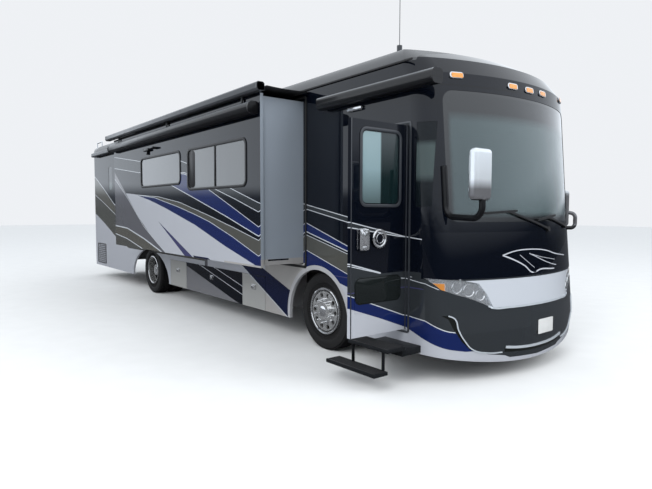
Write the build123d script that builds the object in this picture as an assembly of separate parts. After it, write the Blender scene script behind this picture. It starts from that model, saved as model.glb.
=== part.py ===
"""A rear-engined motorhome with its long slide-outs extended and its entry door open.

Millimetres. +X points forward, +Y to the driver's side, +Z up from the ground.
The origin is on the ground in the middle of the vehicle's length and width.
"""
from build123d import *
import os
from math import sqrt

# Driving sizes of the whole vehicle.
body_length = 12000
body_width = 2565
wheelbase = 5790
front_overhang = 2150
roof_height = 3430
ladder_reach = 110
mirror_reach = 150

# Heights above the ground, from the chin up to the rain gutter.
chin_bottom = 170
skirt_bottom = 300
rail_bottom = 620
rail_top = 870
bay_top = 775
floor_bottom = 985
floor_top = 1038
bumper_top = 1072
gutter_height = roof_height - 240

# Walls, glass and gaps.
wall = 40
glass_thickness = 6
glass_depth = 4
door_gap = 8
seat_gap = 0.3
panel_gap = 0.3
hinge_radius = 7.7

# Lengths along X.
nose_x = (body_length + ladder_reach - mirror_reach) / 2
rear_x = nose_x - body_length
front_axle_x = nose_x - front_overhang
rear_axle_x = front_axle_x - wheelbase
cap_seam_x = front_axle_x + 1470
rear_seam_x = rear_x + 300
half_width = body_width / 2

# Bowed ends: the front's plan, the rear's corners and the roof's crown.
nose_bow = 2600
nose_corner = 300
rear_corner = 150
roof_drop = 70
roof_corner = 230

# Wheels.
tyre_radius = 478
tyre_width = 255
tyre_shoulder = 38
rim_radius = 286
dual_spacing = 305
wheel_inset = 20
wheel_y = half_width - wall - wheel_inset - tyre_width / 2
kingpin_inset = 180
kingpin_y = wheel_y - kingpin_inset
axle_height = tyre_radius
arch_offset = -65
arch_radius = 585
arch_height = 400
rear_arch_half = 1020
rear_arch_rise = 600

# Long slide-outs, one each side.
slide_front_x = front_axle_x - 360
slide_rear_x = front_axle_x - 5890
slide_bottom = 1048
slide_top = gutter_height - 132
slide_reach = 632
slide_wall = 40
slide_flange = 25
slide_gap = 12
slide_y = half_width + slide_reach

# Entry door on the right, hinged at its front edge.
door_hinge_x = front_axle_x + 1428
door_width = 753
door_post_width = 90
door_bottom = 520
door_top = gutter_height - 640

# Luggage doors below the slide-outs: label, then rear end and front end from the front axle.
bay_doors = (
    ("rear", -4680, -3954),
    ("middle", -3946, -1924),
    ("front", -1916, -1270),
)
bay_door_bottom = skirt_bottom
bay_depth = 680
bay_sheet = 20

# Chassis.
rail_y = 430
rail_width = 80
beam_width = 70
spring_seat_top = rail_bottom + 60
side_signs = (("right", -1), ("left", 1))

far = body_length
past_side = half_width + 200
wall_reach = 250


def box(x0, x1, y0, y1, z0, z1):
    """A block between two corners."""
    size = (abs(x1 - x0), abs(y1 - y0), abs(z1 - z0))
    return Pos((x0 + x1) / 2, (y0 + y1) / 2, (z0 + z1) / 2) * Box(*size)


def rod_x(x0, x1, y, z, radius):
    """A round bar along X."""
    return Pos((x0 + x1) / 2, y, z) * Rot(0, 90, 0) * Cylinder(radius, abs(x1 - x0))


def rod_y(x, y0, y1, z, radius):
    """A round bar along Y."""
    return Pos(x, (y0 + y1) / 2, z) * Rot(90, 0, 0) * Cylinder(radius, abs(y1 - y0))


def rod_z(x, y, z0, z1, radius):
    """A round bar along Z."""
    return Pos(x, y, (z0 + z1) / 2) * Cylinder(radius, abs(z1 - z0))


def union(solids):
    """All the given solids joined into one shape."""
    total = solids[0]
    for solid in solids[1:]:
        total = total + solid
    return total


def mirrored(shape):
    """The same shape on the other side of the vehicle."""
    return mirror(shape, about=Plane.XZ)


def handed(shape, sign):
    """A shape drawn for the left side, put on the side that sign names."""
    return shape if sign > 0 else mirrored(shape)


def write(node, shape):
    """One STEP file for one node."""
    solids = shape if isinstance(shape, list) else shape.solids()
    export_step(Compound(children=[Solid(solid.wrapped) for solid in solids]), f"parts/{node}.step")


def section_x(rows, x0, x1):
    """A prism along X over the outline that the rows of Y and Z give."""
    with BuildSketch(Plane.YZ) as section:
        with BuildLine():
            Polyline(*rows, close=True)
        make_face()
    prism = extrude(section.sketch, amount=abs(x1 - x0))
    return Pos(min(x0, x1), 0, 0) * prism


def rounded_prism_x(y0, y1, z0, z1, radius, x0, x1):
    """A block with its edges along X rounded."""
    block = box(x0, x1, y0, y1, z0, z1)
    return fillet(block.edges().filter_by(Axis.X), radius)


def rounded_prism_y(x0, x1, z0, z1, radius, y0, y1):
    """A block with its edges along Y rounded."""
    block = box(x0, x1, y0, y1, z0, z1)
    return fillet(block.edges().filter_by(Axis.Y), radius)


def bowed_end(peak, half, bow, corner):
    """Where a bowed end meets its side, its corner arc's middle and its bow: (along, across) each."""
    centre = peak - bow
    across = half - corner
    along = centre + sqrt((bow - corner) ** 2 - across ** 2)
    stretch = bow / (bow - corner)
    touch = (centre + (along - centre) * stretch, across * stretch)
    middle = ((touch[0] - along) / 2, (half + touch[1]) / 2 - across)
    size = sqrt(middle[0] ** 2 + middle[1] ** 2)
    bulge = (along + middle[0] / size * corner, across + middle[1] / size * corner)
    return (along, half), bulge, touch


# The front's height and how far its middle stands behind the foremost point.
profile_bottom = chin_bottom - 70
front_profile = (
    (profile_bottom, 60),
    (260, 30),
    (380, 15),
    (520, 0),
    (820, 25),
    (1060, 45),
    (1500, 85),
    (roof_height - 580, 195),
    (roof_height - 380, 220),
    (roof_height - 210, 360),
    (roof_height - 80, 610),
    (roof_height - 5, 950),
    (roof_height + 60, 1450),
)


def plan_wire(height, setback, inset):
    """The front's outline seen from above, at one height, run straight back past the rear."""
    peak = nose_x - setback - inset
    half = half_width - inset
    tail = rear_x - rear_corner
    side, bulge, touch = bowed_end(peak, half, nose_bow - inset, nose_corner - inset)
    with BuildLine() as outline:
        Line((side[0], half), (tail, half))
        Line((tail, half), (tail, -half))
        Line((tail, -half), (side[0], -half))
        ThreePointArc((side[0], -half), (bulge[0], -bulge[1]), (touch[0], -touch[1]))
        ThreePointArc((touch[0], -touch[1]), (peak, 0), touch)
        ThreePointArc(touch, bulge, side)
    return Pos(0, 0, height) * outline.wires()[0]


def tail_block(inset):
    """A block whose rear end has the body's rounded corners."""
    half = half_width - inset
    block = box(rear_x + inset, nose_x + nose_bow, -half, half, 0, 2 * roof_height)
    rear_edges = block.edges().filter_by(Axis.Z).sort_by(Axis.X)[:2]
    return fillet(rear_edges, rear_corner - inset)


def crown_block(inset):
    """The body's cross-section with its crowned roof, run the whole length."""
    half = half_width - inset
    bow = (half_width ** 2 + roof_drop ** 2) / (2 * roof_drop) - inset
    side, bulge, touch = bowed_end(roof_height - inset, half, bow, roof_corner - inset)
    low = profile_bottom - 2 * inset
    with BuildSketch(Plane.YZ) as section:
        with BuildLine():
            Line((-half, low), (half, low))
            Line((half, low), (half, side[0]))
            ThreePointArc((half, side[0]), (bulge[1], bulge[0]), (touch[1], touch[0]))
            ThreePointArc((touch[1], touch[0]), (0, roof_height - inset), (-touch[1], touch[0]))
            ThreePointArc((-touch[1], touch[0]), (-bulge[1], bulge[0]), (-half, side[0]))
            Line((-half, side[0]), (-half, low))
        make_face()
    return extrude(section.sketch, amount=far, both=True)


def envelope(inset):
    """The solid that fills the body, shrunk all round by inset and open below."""
    wires = []
    for index, (height, setback) in enumerate(front_profile):
        drop = 2 * inset if index == 0 else 0
        wires.append(plan_wire(height - drop, setback, inset))
    return (Solid.make_loft(wires, ruled=True) & crown_block(inset)) & tail_block(inset)


outer_body = envelope(0)
inner_body = envelope(wall)
seat_body = envelope(-seat_gap)
glass_outer = envelope(glass_depth)
glass_inner = envelope(glass_depth + glass_thickness)
shell = outer_body - inner_body
glass_shell = glass_outer - glass_inner


# Windows in the body's flat sides: side, rear end, front end, low edge and high edge.
rear_window_x = rear_x + 1360
rear_window_length = 260
side_windows = (
    (-1, rear_window_x, rear_window_x + rear_window_length, gutter_height - 990, gutter_height - 430),
    (1, rear_window_x, rear_window_x + rear_window_length, gutter_height - 990, gutter_height - 430),
    (1, front_axle_x + 560, front_axle_x + 1340, 1750, gutter_height - 670),
)
window_corner = 60
corner_window_rear = front_axle_x + 1535
corner_window_front = front_axle_x + 1698
corner_window_low = 1750
corner_window_high = gutter_height - 620
windshield_half = 1110
windshield_low = 1600
windshield_high = gutter_height - 310
windshield_corner = 110
nose_depth = 900


def side_window_block(sign, rear, front, low, high, gap):
    """The block that a window in a side wall takes up."""
    block = rounded_prism_y(rear + gap, front - gap, low + gap, high - gap,
                            window_corner - gap, half_width - wall_reach, past_side)
    return handed(block, sign)


def corner_window_block(sign, gap):
    """The narrow window that wraps the front corner."""
    block = box(corner_window_rear + gap, corner_window_front - gap, half_width - wall_reach, past_side,
                corner_window_low + gap, corner_window_high - gap)
    return handed(block, sign)


def windshield_block(gap):
    """The block that the windshield takes up."""
    half = windshield_half - gap
    return rounded_prism_x(-half, half, windshield_low + gap, windshield_high - gap,
                           windshield_corner - gap, nose_x - nose_depth, nose_x + wall)


def doorway():
    """The hole in the right wall that the entry door fills when it is shut."""
    return box(door_hinge_x - door_width - door_gap, door_hinge_x + door_gap, -past_side,
               -half_width + wall_reach, door_bottom - door_gap, door_top + door_gap)


def front_arch():
    """The opening in both sides round the front wheels."""
    centre = front_axle_x + arch_offset
    disc = rod_y(centre, -past_side, past_side, arch_height, arch_radius)
    foot = box(centre - arch_radius, centre + arch_radius, -past_side, past_side, 0, arch_height)
    return disc + foot


def rear_arch():
    """The long low opening in both sides round the rear wheels."""
    with BuildSketch(Plane.XZ) as section:
        with Locations((rear_axle_x, skirt_bottom)):
            Ellipse(rear_arch_half, rear_arch_rise)
    return extrude(section.sketch, amount=past_side, both=True)


def slide_opening():
    """The holes in both side walls that the slide-outs pass through."""
    return box(slide_rear_x - slide_gap, slide_front_x + slide_gap, -past_side, past_side,
               slide_bottom - slide_gap, slide_top + slide_gap)


def bay_opening():
    """The hole in both side walls that the luggage doors fill."""
    rear = front_axle_x + bay_doors[0][1] - door_gap
    front = front_axle_x + bay_doors[-1][2] + door_gap
    return box(rear, front, -past_side, past_side, 0, bay_top + door_gap)


def side_walls():
    """Each side wall from the front cap's seam to the rear cap's; the right one has a door panel."""
    inside = half_width - 2 * wall
    slab = box(rear_seam_x, cap_seam_x - panel_gap, -past_side, past_side, skirt_bottom, gutter_height)
    middle = box(rear_seam_x - 1, cap_seam_x + 1, -inside, inside, 0, gutter_height)
    walls = (shell & (slab - middle)) - front_arch() - rear_arch() - slide_opening() - bay_opening()
    walls = walls - doorway()
    for row in side_windows:
        walls = walls - side_window_block(*row, 0)
    seam_x = door_hinge_x - door_width - door_gap - door_post_width
    walls = walls - box(seam_x, seam_x + seat_gap, -past_side, 0, 0, far)
    for name, sign in side_signs:
        write(f"side_wall_{name}", walls & box(-far, far, 0, sign * far, 0, far))


def roof_panel():
    """The crowned roof between the two caps."""
    slab = box(rear_seam_x, cap_seam_x - panel_gap, -past_side, past_side, gutter_height, far)
    write("roof", shell & slab)


def front_cap():
    """The moulded nose above the bumper, with its windshield and corner windows cut."""
    slab = box(cap_seam_x, far, -past_side, past_side, bumper_top + panel_gap, far)
    cap = (shell & slab) - windshield_block(0)
    for _, sign in side_signs:
        cap = cap - corner_window_block(sign, 0)
    write("front_cap", cap)


# The left headlight's outline seen from the front: distance from the middle and height.
headlight_outline = (
    (685, 759),
    (751, 892),
    (838, 1000),
    (1011, 1037),
    (1278, 1056),
    (1199, 950),
    (1070, 897),
    (946, 861),
    (803, 803),
)
lens_depth = 30


def headlight_block(gap):
    """The raked wedge at the left front corner that the headlight fills."""
    with BuildSketch(Plane.YZ) as section:
        with BuildLine():
            Polyline(*headlight_outline, close=True)
        make_face()
    outline = offset(section.sketch, amount=-gap, kind=Kind.INTERSECTION) if gap else section.sketch
    return Pos(cap_seam_x + wall, 0, 0) * extrude(outline, amount=far)


def bumper():
    """The moulded bumper with its bowed lower edge, open where the headlights sit."""
    rise = skirt_bottom - chin_bottom
    chin_radius = (half_width ** 2 + rise ** 2) / (2 * rise)
    slab = box(cap_seam_x, far, -past_side, past_side, 0, bumper_top - panel_gap)
    chin = rod_x(cap_seam_x - 1, far, 0, chin_bottom + chin_radius, chin_radius)
    block = (shell & slab & chin) - headlight_block(0) - mirrored(headlight_block(0))
    write("bumper", block)


def headlights():
    """Two clear wedges that follow the bumper's bowed face."""
    lens = (outer_body - envelope(lens_depth)) & headlight_block(seat_gap)
    write("headlights", lens.solids() + mirrored(lens).solids())


# Rear end: its grille door, its lamps and the hitch.
engine_door_half = 700
engine_door_low = 620
engine_door_high = 1450
grille_slots = 5
grille_first = 160
grille_pitch = 110
grille_height = 40
grille_margin = 140
receiver_height = 390
receiver_outer = 63.5
receiver_inner = 50.8
receiver_reach = 60
hitch_pin_radius = 8.2
hitch_pin_inset = 20
hitch_notch_half = 260
hitch_notch_top = 460
tail_lamp_low = 1080
tail_lamp_high = 1480
tail_lamp_inner = 1010
tail_lamp_outer = 1110
tail_lens_depth = 25


def engine_door_block(gap):
    """The block that the engine's rear door takes up."""
    half = engine_door_half - gap
    return box(rear_x - wall, rear_x + 2 * wall, -half, half, engine_door_low + gap, engine_door_high - gap)


def tail_lamp_block(gap):
    """The block that the left tail lamp takes up."""
    return box(rear_x - wall, rear_x + 2 * wall, tail_lamp_inner + gap, tail_lamp_outer - gap,
               tail_lamp_low + gap, tail_lamp_high - gap)


def rear_cap():
    """The rear wall and its rounded corners, open at the engine door and over the hitch."""
    slab = box(-far, rear_seam_x - panel_gap, -past_side, past_side, skirt_bottom, far)
    notch = box(-far, rear_x + 2 * wall, -hitch_notch_half, hitch_notch_half, 0, hitch_notch_top)
    lamps = tail_lamp_block(0) + mirrored(tail_lamp_block(0))
    cap = (shell & slab) - notch - engine_door_block(0) - lamps
    write("rear_cap", cap)


def engine_door():
    """The grille door over the engine, hinged at its top edge."""
    panel = (outer_body - inner_body) & engine_door_block(door_gap)
    slot_half = engine_door_half - grille_margin
    for row in range(grille_slots):
        low = engine_door_low + grille_first + row * grille_pitch
        panel = panel - box(rear_x - wall, rear_x + 2 * wall, -slot_half, slot_half, low,
                            low + grille_height)
    barrel = rod_y(rear_x, -engine_door_half + door_gap, engine_door_half - door_gap,
                   engine_door_high - door_gap, hinge_radius)
    write("engine_door", panel + barrel)


def tail_lamps():
    """A tall lamp in each rear corner."""
    lens = (outer_body - envelope(tail_lens_depth)) & tail_lamp_block(seat_gap)
    write("tail_lights", lens.solids() + mirrored(lens).solids())


def windshield():
    """The one-piece curved windshield, bonded in its opening."""
    write("windshield", glass_shell & windshield_block(seat_gap))


def body_glass():
    """The fixed windows of the side walls and of the front corners."""
    panes = []
    for row in side_windows:
        panes.extend((glass_shell & side_window_block(*row, seat_gap)).solids())
    for _, sign in side_signs:
        panes.extend((glass_shell & corner_window_block(sign, seat_gap)).solids())
    write("side_windows", panes)


# Slide-out windows: rear end, front end, low edge and high edge.
slide_windows = (
    (front_axle_x - 4380, front_axle_x - 2680, slide_top - 938, slide_top - 458),
    (front_axle_x - 2390, front_axle_x - 680, slide_top - 1038, slide_top - 468),
)
awning_low = slide_top - 296
awning_high = slide_top - 68
awning_proud = 150
awning_corner = 60
awning_rear_x = slide_rear_x + 20
awning_front_x = slide_front_x + 210
roller_radius = 48
roller_height = slide_top + slide_flange + roller_radius + 4
roller_y = slide_y + 35
roller_overhang = 230
bracket_seat = 40
bracket_depth = 110
bracket_low = slide_top - 38
topper_overhang = 150
topper_sag = 20
topper_thickness = 8
topper_wall_height = gutter_height - 38
topper_roller_height = roller_height + 5


def slide_pane(rear, front, low, high, gap):
    """The block that one slide-out window takes up, on the left side."""
    return rounded_prism_y(rear + gap, front - gap, low + gap, high - gap,
                           window_corner - gap, slide_y - 2 * wall, slide_y + wall)


def slide_box():
    """The left slide-out: a hollow room, open towards the cabin, with a flanged outer wall."""
    inner_y = half_width - wall - slide_gap
    outside = box(slide_rear_x, slide_front_x, inner_y, slide_y - slide_wall, slide_bottom, slide_top)
    hollow = box(slide_rear_x + slide_wall, slide_front_x - slide_wall, inner_y - 1, slide_y - slide_wall,
                 slide_bottom + slide_wall, slide_top - slide_wall)
    plate = box(slide_rear_x - slide_flange, slide_front_x + slide_flange, slide_y - slide_wall, slide_y,
                slide_bottom - slide_flange, slide_top + slide_flange)
    room = (outside - hollow) + plate
    for row in slide_windows:
        room = room - slide_pane(*row, 0)
    return room


def slide_glass():
    """The left slide-out's windows."""
    pane_y = slide_y - glass_depth
    sheet = box(-far, far, pane_y - glass_thickness, pane_y, 0, far)
    return [sheet & slide_pane(*row, seat_gap) for row in slide_windows]


def slide_rollers():
    """The left topper's roller between its end brackets, and the patio awning's case below it."""
    face = slide_y + seat_gap
    roller = rod_x(slide_rear_x - roller_overhang, slide_front_x + roller_overhang, roller_y,
                   roller_height, roller_radius)
    for inner, outer in ((slide_rear_x + bracket_seat, slide_rear_x - roller_overhang),
                         (slide_front_x - bracket_seat, slide_front_x + roller_overhang)):
        roller = roller + box(inner, outer, face, slide_y + bracket_depth, bracket_low, gutter_height)
    awning = rounded_prism_x(face, slide_y + awning_proud, awning_low, awning_high, awning_corner,
                             awning_rear_x, awning_front_x)
    return [roller, awning]


def topper():
    """The left topper's sheet, from the wall above the slide-out to its roller."""
    wall_y = half_width + seat_gap
    outer_y = roller_y - roller_radius - seat_gap
    middle_y = (wall_y + outer_y) / 2
    middle_z = (topper_wall_height + topper_roller_height) / 2 - topper_sag
    rows = (
        (wall_y, topper_wall_height),
        (wall_y, topper_wall_height + topper_thickness),
        (middle_y, middle_z + topper_thickness),
        (outer_y, topper_roller_height + topper_thickness),
        (outer_y, topper_roller_height),
        (middle_y, middle_z),
    )
    return section_x(rows, slide_rear_x - topper_overhang, slide_front_x + topper_overhang)


def slide_outs():
    """Both slide-outs with their glass, rollers and topper sheets."""
    room = slide_box()
    for name, sign in side_signs:
        write(f"slide_{name}", handed(room, sign))
        write(f"slide_glass_{name}", [handed(pane, sign).solids()[0] for pane in slide_glass()])
        write(f"slide_rollers_{name}", [handed(case, sign).solids()[0] for case in slide_rollers()])
        write(f"topper_{name}", handed(topper(), sign))


latch_low = 575
latch_high = 635
latch_half = 60
latch_depth = 5
latch_proud = 12


def bay_panels():
    """The luggage doors, hinged along their top edges."""
    for label, rear, front in bay_doors:
        start = front_axle_x + rear
        end = front_axle_x + front
        panel = box(start, end, half_width - wall, half_width, bay_door_bottom, bay_top)
        middle = (start + end) / 2
        latch = box(middle - latch_half, middle + latch_half, half_width - latch_depth,
                    half_width + latch_proud, latch_low, latch_high)
        barrel = rod_x(start, end, half_width, bay_top, hinge_radius)
        for name, sign in side_signs:
            write(f"bay_door_{label}_{name}", handed(panel + latch + barrel, sign))


# The entry door's fittings: heights, and distances out from the hinge.
door_glass_low = 1780
door_glass_high = door_top - 100
door_glass_near = 130
door_glass_far = 600
door_glass_corner = 50
kick_low = 750
kick_high = 1080
kick_near = 90
kick_far = 690
kick_proud = 3
handle_low = 1340
handle_high = 1540
handle_near = 540
handle_far = 660
handle_proud = 35
lock_radius = 95
lock_distance = 390
lock_height = 1445
lock_proud = 18
pull_low = 1200
pull_high = 1600
pull_width = 25
pull_proud = 40
hinge_gap = 6
fitting_root = 2


def entry_door():
    """The entry door, open square to the body, with its lever, its lock and its inside pull."""
    face = door_hinge_x
    back = door_hinge_x - wall
    root = face - fitting_root
    side = -half_width
    leaf = box(back, face, side - hinge_gap, side - door_width + door_gap, door_bottom, door_top)
    pane = rounded_prism_x(side - door_glass_near, side - door_glass_far, door_glass_low,
                           door_glass_high, door_glass_corner, back - wall, face + wall)
    lever = box(root, face + handle_proud, side - handle_near, side - handle_far, handle_low, handle_high)
    lock = rod_x(root, face + lock_proud, side - lock_distance, lock_height, lock_radius)
    kick = box(root, face + kick_proud, side - kick_near, side - kick_far, kick_low, kick_high)
    pull = box(back - pull_proud, back + fitting_root, side - handle_near,
               side - handle_near - pull_width, pull_low, pull_high)
    barrel = rod_z(door_hinge_x, side, door_bottom, door_top, hinge_radius)
    write("entry_door", union([leaf - pane, lever, lock, kick, pull, barrel]))


def entry_door_glass():
    """The entry door's window."""
    face = door_hinge_x - glass_depth
    write("entry_door_glass", rounded_prism_x(
        -half_width - door_glass_near - seat_gap, -half_width - door_glass_far + seat_gap,
        door_glass_low + seat_gap, door_glass_high - seat_gap, door_glass_corner - seat_gap,
        face - glass_thickness, face))


# The entry steps and the stepwell that they hang from.
well_rear_x = door_hinge_x - door_width - door_gap
well_front_x = door_hinge_x + door_gap
well_side_y = -half_width + wall
well_inner_y = -740
well_sheet = 20
well_bottom = door_bottom - 30
well_tread = 760
step_rear_x = front_axle_x + 900
step_front_x = front_axle_x + 1580
step_shift = 90
step_upper_height = 420
step_lower_height = 200
step_upper_y = (-1520, -1760)
step_lower_y = (-1720, -1900)
step_thickness = 40
step_sheet = 12
step_lap = 20
step_root_y = -half_width + 140
step_housing = 60
step_arm_top = 262
step_arm_bottom = 205


def entry_steps():
    """Two treads with a riser on side arms, hung from the stepwell and passing under the skirt."""
    upper = box(step_rear_x, step_front_x + step_shift, *step_upper_y,
                step_upper_height - step_thickness, step_upper_height)
    lower = box(step_rear_x, step_front_x, *step_lower_y,
                step_lower_height - step_thickness, step_lower_height)
    riser_y = step_lower_y[0] - step_lap
    riser = box(step_rear_x, step_front_x, riser_y, riser_y - step_sheet,
                step_lower_height - step_thickness, step_upper_height - step_thickness / 2)
    rows = (
        (step_root_y, step_arm_top),
        (step_upper_y[0] + step_thickness, step_arm_top),
        (step_upper_y[0], step_upper_height - step_lap / 2),
        (step_upper_y[1] + step_lap, step_upper_height - step_lap / 2),
        (step_lower_y[1] + step_lap, step_lower_height - step_lap / 2),
        (step_lower_y[1] + step_lap, step_lower_height - step_thickness),
        (step_lower_y[0] + step_thickness, step_lower_height - step_thickness),
        (step_root_y, step_arm_bottom),
    )
    pieces = [upper, lower, riser]
    for x in (step_rear_x, step_front_x - step_sheet):
        pieces.append(section_x(rows, x, x + step_sheet))
    housing_y = step_root_y - step_housing
    pieces.append(box(step_rear_x, step_front_x, housing_y, step_root_y, step_arm_bottom, step_arm_top))
    for x in (step_rear_x, well_front_x - step_housing):
        pieces.append(box(x, x + step_sheet, housing_y, step_root_y, step_arm_bottom,
                          well_bottom - seat_gap))
    write("entry_steps", union(pieces))


engine_deck_x = rear_x + 1550
engine_deck_height = 1550
deck_thickness = 50
floor_front_x = front_axle_x + 1580
floor_seam = 3


def floor_deck():
    """The floor in two panels: the cab's, notched for the stepwell, and the cabin's with its raised deck."""
    side = half_width - wall
    seam_x = well_rear_x - well_sheet - floor_seam
    cabin = box(engine_deck_x, seam_x, -side, side, floor_bottom, floor_top) & inner_body
    deck = box(rear_x + wall, engine_deck_x + deck_thickness, -side, side,
               engine_deck_height - deck_thickness, engine_deck_height) & inner_body
    riser = box(engine_deck_x, engine_deck_x + deck_thickness, -side, side, floor_bottom,
                engine_deck_height)
    cab_panel = box(seam_x + floor_seam, floor_front_x, -side, side, floor_bottom, floor_top) & inner_body
    notch = box(well_rear_x - well_sheet - 1, well_front_x + well_sheet, well_side_y - 1,
                well_inner_y + well_sheet, floor_bottom - 1, floor_top + 1)
    write("floor", union([cabin, deck, riser]).solids() + (cab_panel - notch).solids())


def stepwell():
    """The stepwell inside the entry door: a sheet-metal pan with an upper tread."""
    outside = box(well_rear_x - well_sheet, well_front_x + well_sheet, well_side_y,
                  well_inner_y + well_sheet, well_bottom, floor_top)
    inside = box(well_rear_x, well_front_x, well_side_y - 1, well_inner_y, door_bottom, floor_top + 1)
    tread = box(well_rear_x - 1, well_front_x + 1, (well_side_y + well_inner_y) / 2, well_inner_y + 1,
                door_bottom - 1, well_tread)
    write("stepwell", (outside - inside) + (tread & outside))


# Cross-members between the rails and floor beams over them: place, and the beam's half length.
short_beam_half = 560
long_beam_half = half_width - wall
cross_beams = (
    (front_axle_x + 1400, short_beam_half),
    (front_axle_x + 780, short_beam_half),
    (front_axle_x - 750, long_beam_half),
    (front_axle_x - 1900, long_beam_half),
    (front_axle_x - 3100, long_beam_half),
    (front_axle_x - 4300, long_beam_half),
    (rear_axle_x - 800, long_beam_half),
    (rear_x + 2250, long_beam_half),
)
rail_front_x = front_axle_x + 1500
rail_rear_x = rear_x + 140
cross_member_low = rail_bottom + 40
drop_plate = 60
bore_depth = 290
spring_radius = 95
spring_y = 570
spring_bracket = 100
bracket_plate = 20
front_spring_offset = 250
rear_spring_offset = 620
spring_offsets = ((front_axle_x, front_spring_offset), (rear_axle_x, rear_spring_offset))


def chassis():
    """Two frame rails joined by the hitch receiver's drop plate, with the air springs' brackets."""
    pieces = []
    for _, sign in side_signs:
        pieces.append(box(rail_rear_x, rail_front_x, sign * (rail_y - rail_width / 2),
                          sign * (rail_y + rail_width / 2), rail_bottom, rail_top))
    for axle_x, spread in spring_offsets:
        for x in (axle_x - spread, axle_x + spread):
            for _, sign in side_signs:
                pieces.append(box(x - spring_bracket, x + spring_bracket, sign * rail_y,
                                  sign * (spring_y + spring_radius), spring_seat_top,
                                  spring_seat_top + bracket_plate))
    outer = receiver_outer / 2
    inner = receiver_inner / 2
    drop = box(rail_rear_x, rail_rear_x + drop_plate, -rail_y, rail_y, receiver_height - outer, rail_top)
    receiver = box(rear_x - receiver_reach, rail_rear_x + 200, -outer, outer, receiver_height - outer,
                   receiver_height + outer)
    bore = box(rear_x - receiver_reach - 1, rear_x + bore_depth, -inner, inner, receiver_height - inner,
               receiver_height + inner)
    pin = rod_y(rear_x - hitch_pin_inset, -receiver_outer, receiver_outer, receiver_height,
                hitch_pin_radius)
    frame = union(pieces + [drop, receiver])
    write("chassis_frame", frame - bore - pin)


def cross_members():
    """Members between the rails and beams over them that carry the floor."""
    inside = rail_y - rail_width / 2 - seat_gap
    solids = []
    for x, half in cross_beams:
        rear = x - beam_width / 2
        front = x + beam_width / 2
        solids.append(box(rear, front, -inside, inside, cross_member_low, rail_top))
        solids.append(box(rear, front, -half, half, rail_top + seat_gap, floor_bottom))
    write("cross_members", [solid.solids()[0] for solid in solids])


# Front axle, rear axle and the air springs on them.
beam_low = 340
beam_high = 440
beam_half = 50
beam_end = 110
saddle_low = 400
saddle_half = 60
eye_radius = 45
eye_low = 400
eye_high = 520
eye_link = 40
drive_tube = 65
drive_bulb = 210
drive_nose = 330
drive_nose_radius = 90
spindle_radius = 40
rear_spindle_radius = 38
spindle_reach = 60
kingpin_radius = 24
kingpin_play = 1


def axles():
    """The front beam axle, the rear drive axle and the air springs that carry the frame."""
    front_pieces = [box(front_axle_x - beam_half, front_axle_x + beam_half, -kingpin_y + beam_end,
                        kingpin_y - beam_end, beam_low, beam_high)]
    rear_pieces = []
    springs = []
    for pieces, (axle_x, spread) in zip((front_pieces, rear_pieces), spring_offsets):
        for _, sign in side_signs:
            for x in (axle_x - spread, axle_x + spread):
                springs.append(rod_z(x, sign * spring_y, beam_high + seat_gap,
                                     spring_seat_top - seat_gap, spring_radius))
            pieces.append(box(axle_x - spread - spring_radius, axle_x + spread + spring_radius,
                              sign * (spring_y - saddle_half), sign * (spring_y + saddle_half),
                              saddle_low, beam_high))
    for _, sign in side_signs:
        front_pieces.append(rod_z(front_axle_x, sign * kingpin_y, eye_low, eye_high, eye_radius))
        front_pieces.append(box(front_axle_x - eye_link, front_axle_x + eye_link,
                                sign * (kingpin_y - beam_end - 5), sign * kingpin_y, eye_low + 10,
                                beam_high))
    front = union(front_pieces)
    for _, sign in side_signs:
        front = front - rod_z(front_axle_x, sign * kingpin_y, 0, rail_bottom, kingpin_radius + kingpin_play)
    write("front_axle", front)
    housing_end = wheel_y - 1.5 * dual_spacing
    tube = rod_y(rear_axle_x, -housing_end, housing_end, axle_height, drive_tube)
    bulb = Pos(rear_axle_x, 0, axle_height) * Sphere(drive_bulb)
    nose = rod_x(rear_axle_x - drive_nose, rear_axle_x, 0, axle_height, drive_nose_radius)
    spindles = rod_y(rear_axle_x, -wheel_y - spindle_reach, wheel_y + spindle_reach, axle_height,
                     rear_spindle_radius)
    write("rear_axle", union([tube, bulb, nose, spindles] + rear_pieces))
    write("air_springs", springs)


knuckle_half = 50
knuckle_out = 100
knuckle_back = 60
knuckle_foot = 397
knuckle_head = 523
knuckle_top = 573
arm_back = 260
arm_half = 25
arm_end = 30
arm_low = 347
arm_high = 372
tie_height = 300
tie_radius = 20
tie_eye = 34
tie_eye_half = 22
tie_stud = 12
tie_play = 0.3
stud_end = 25


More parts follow.
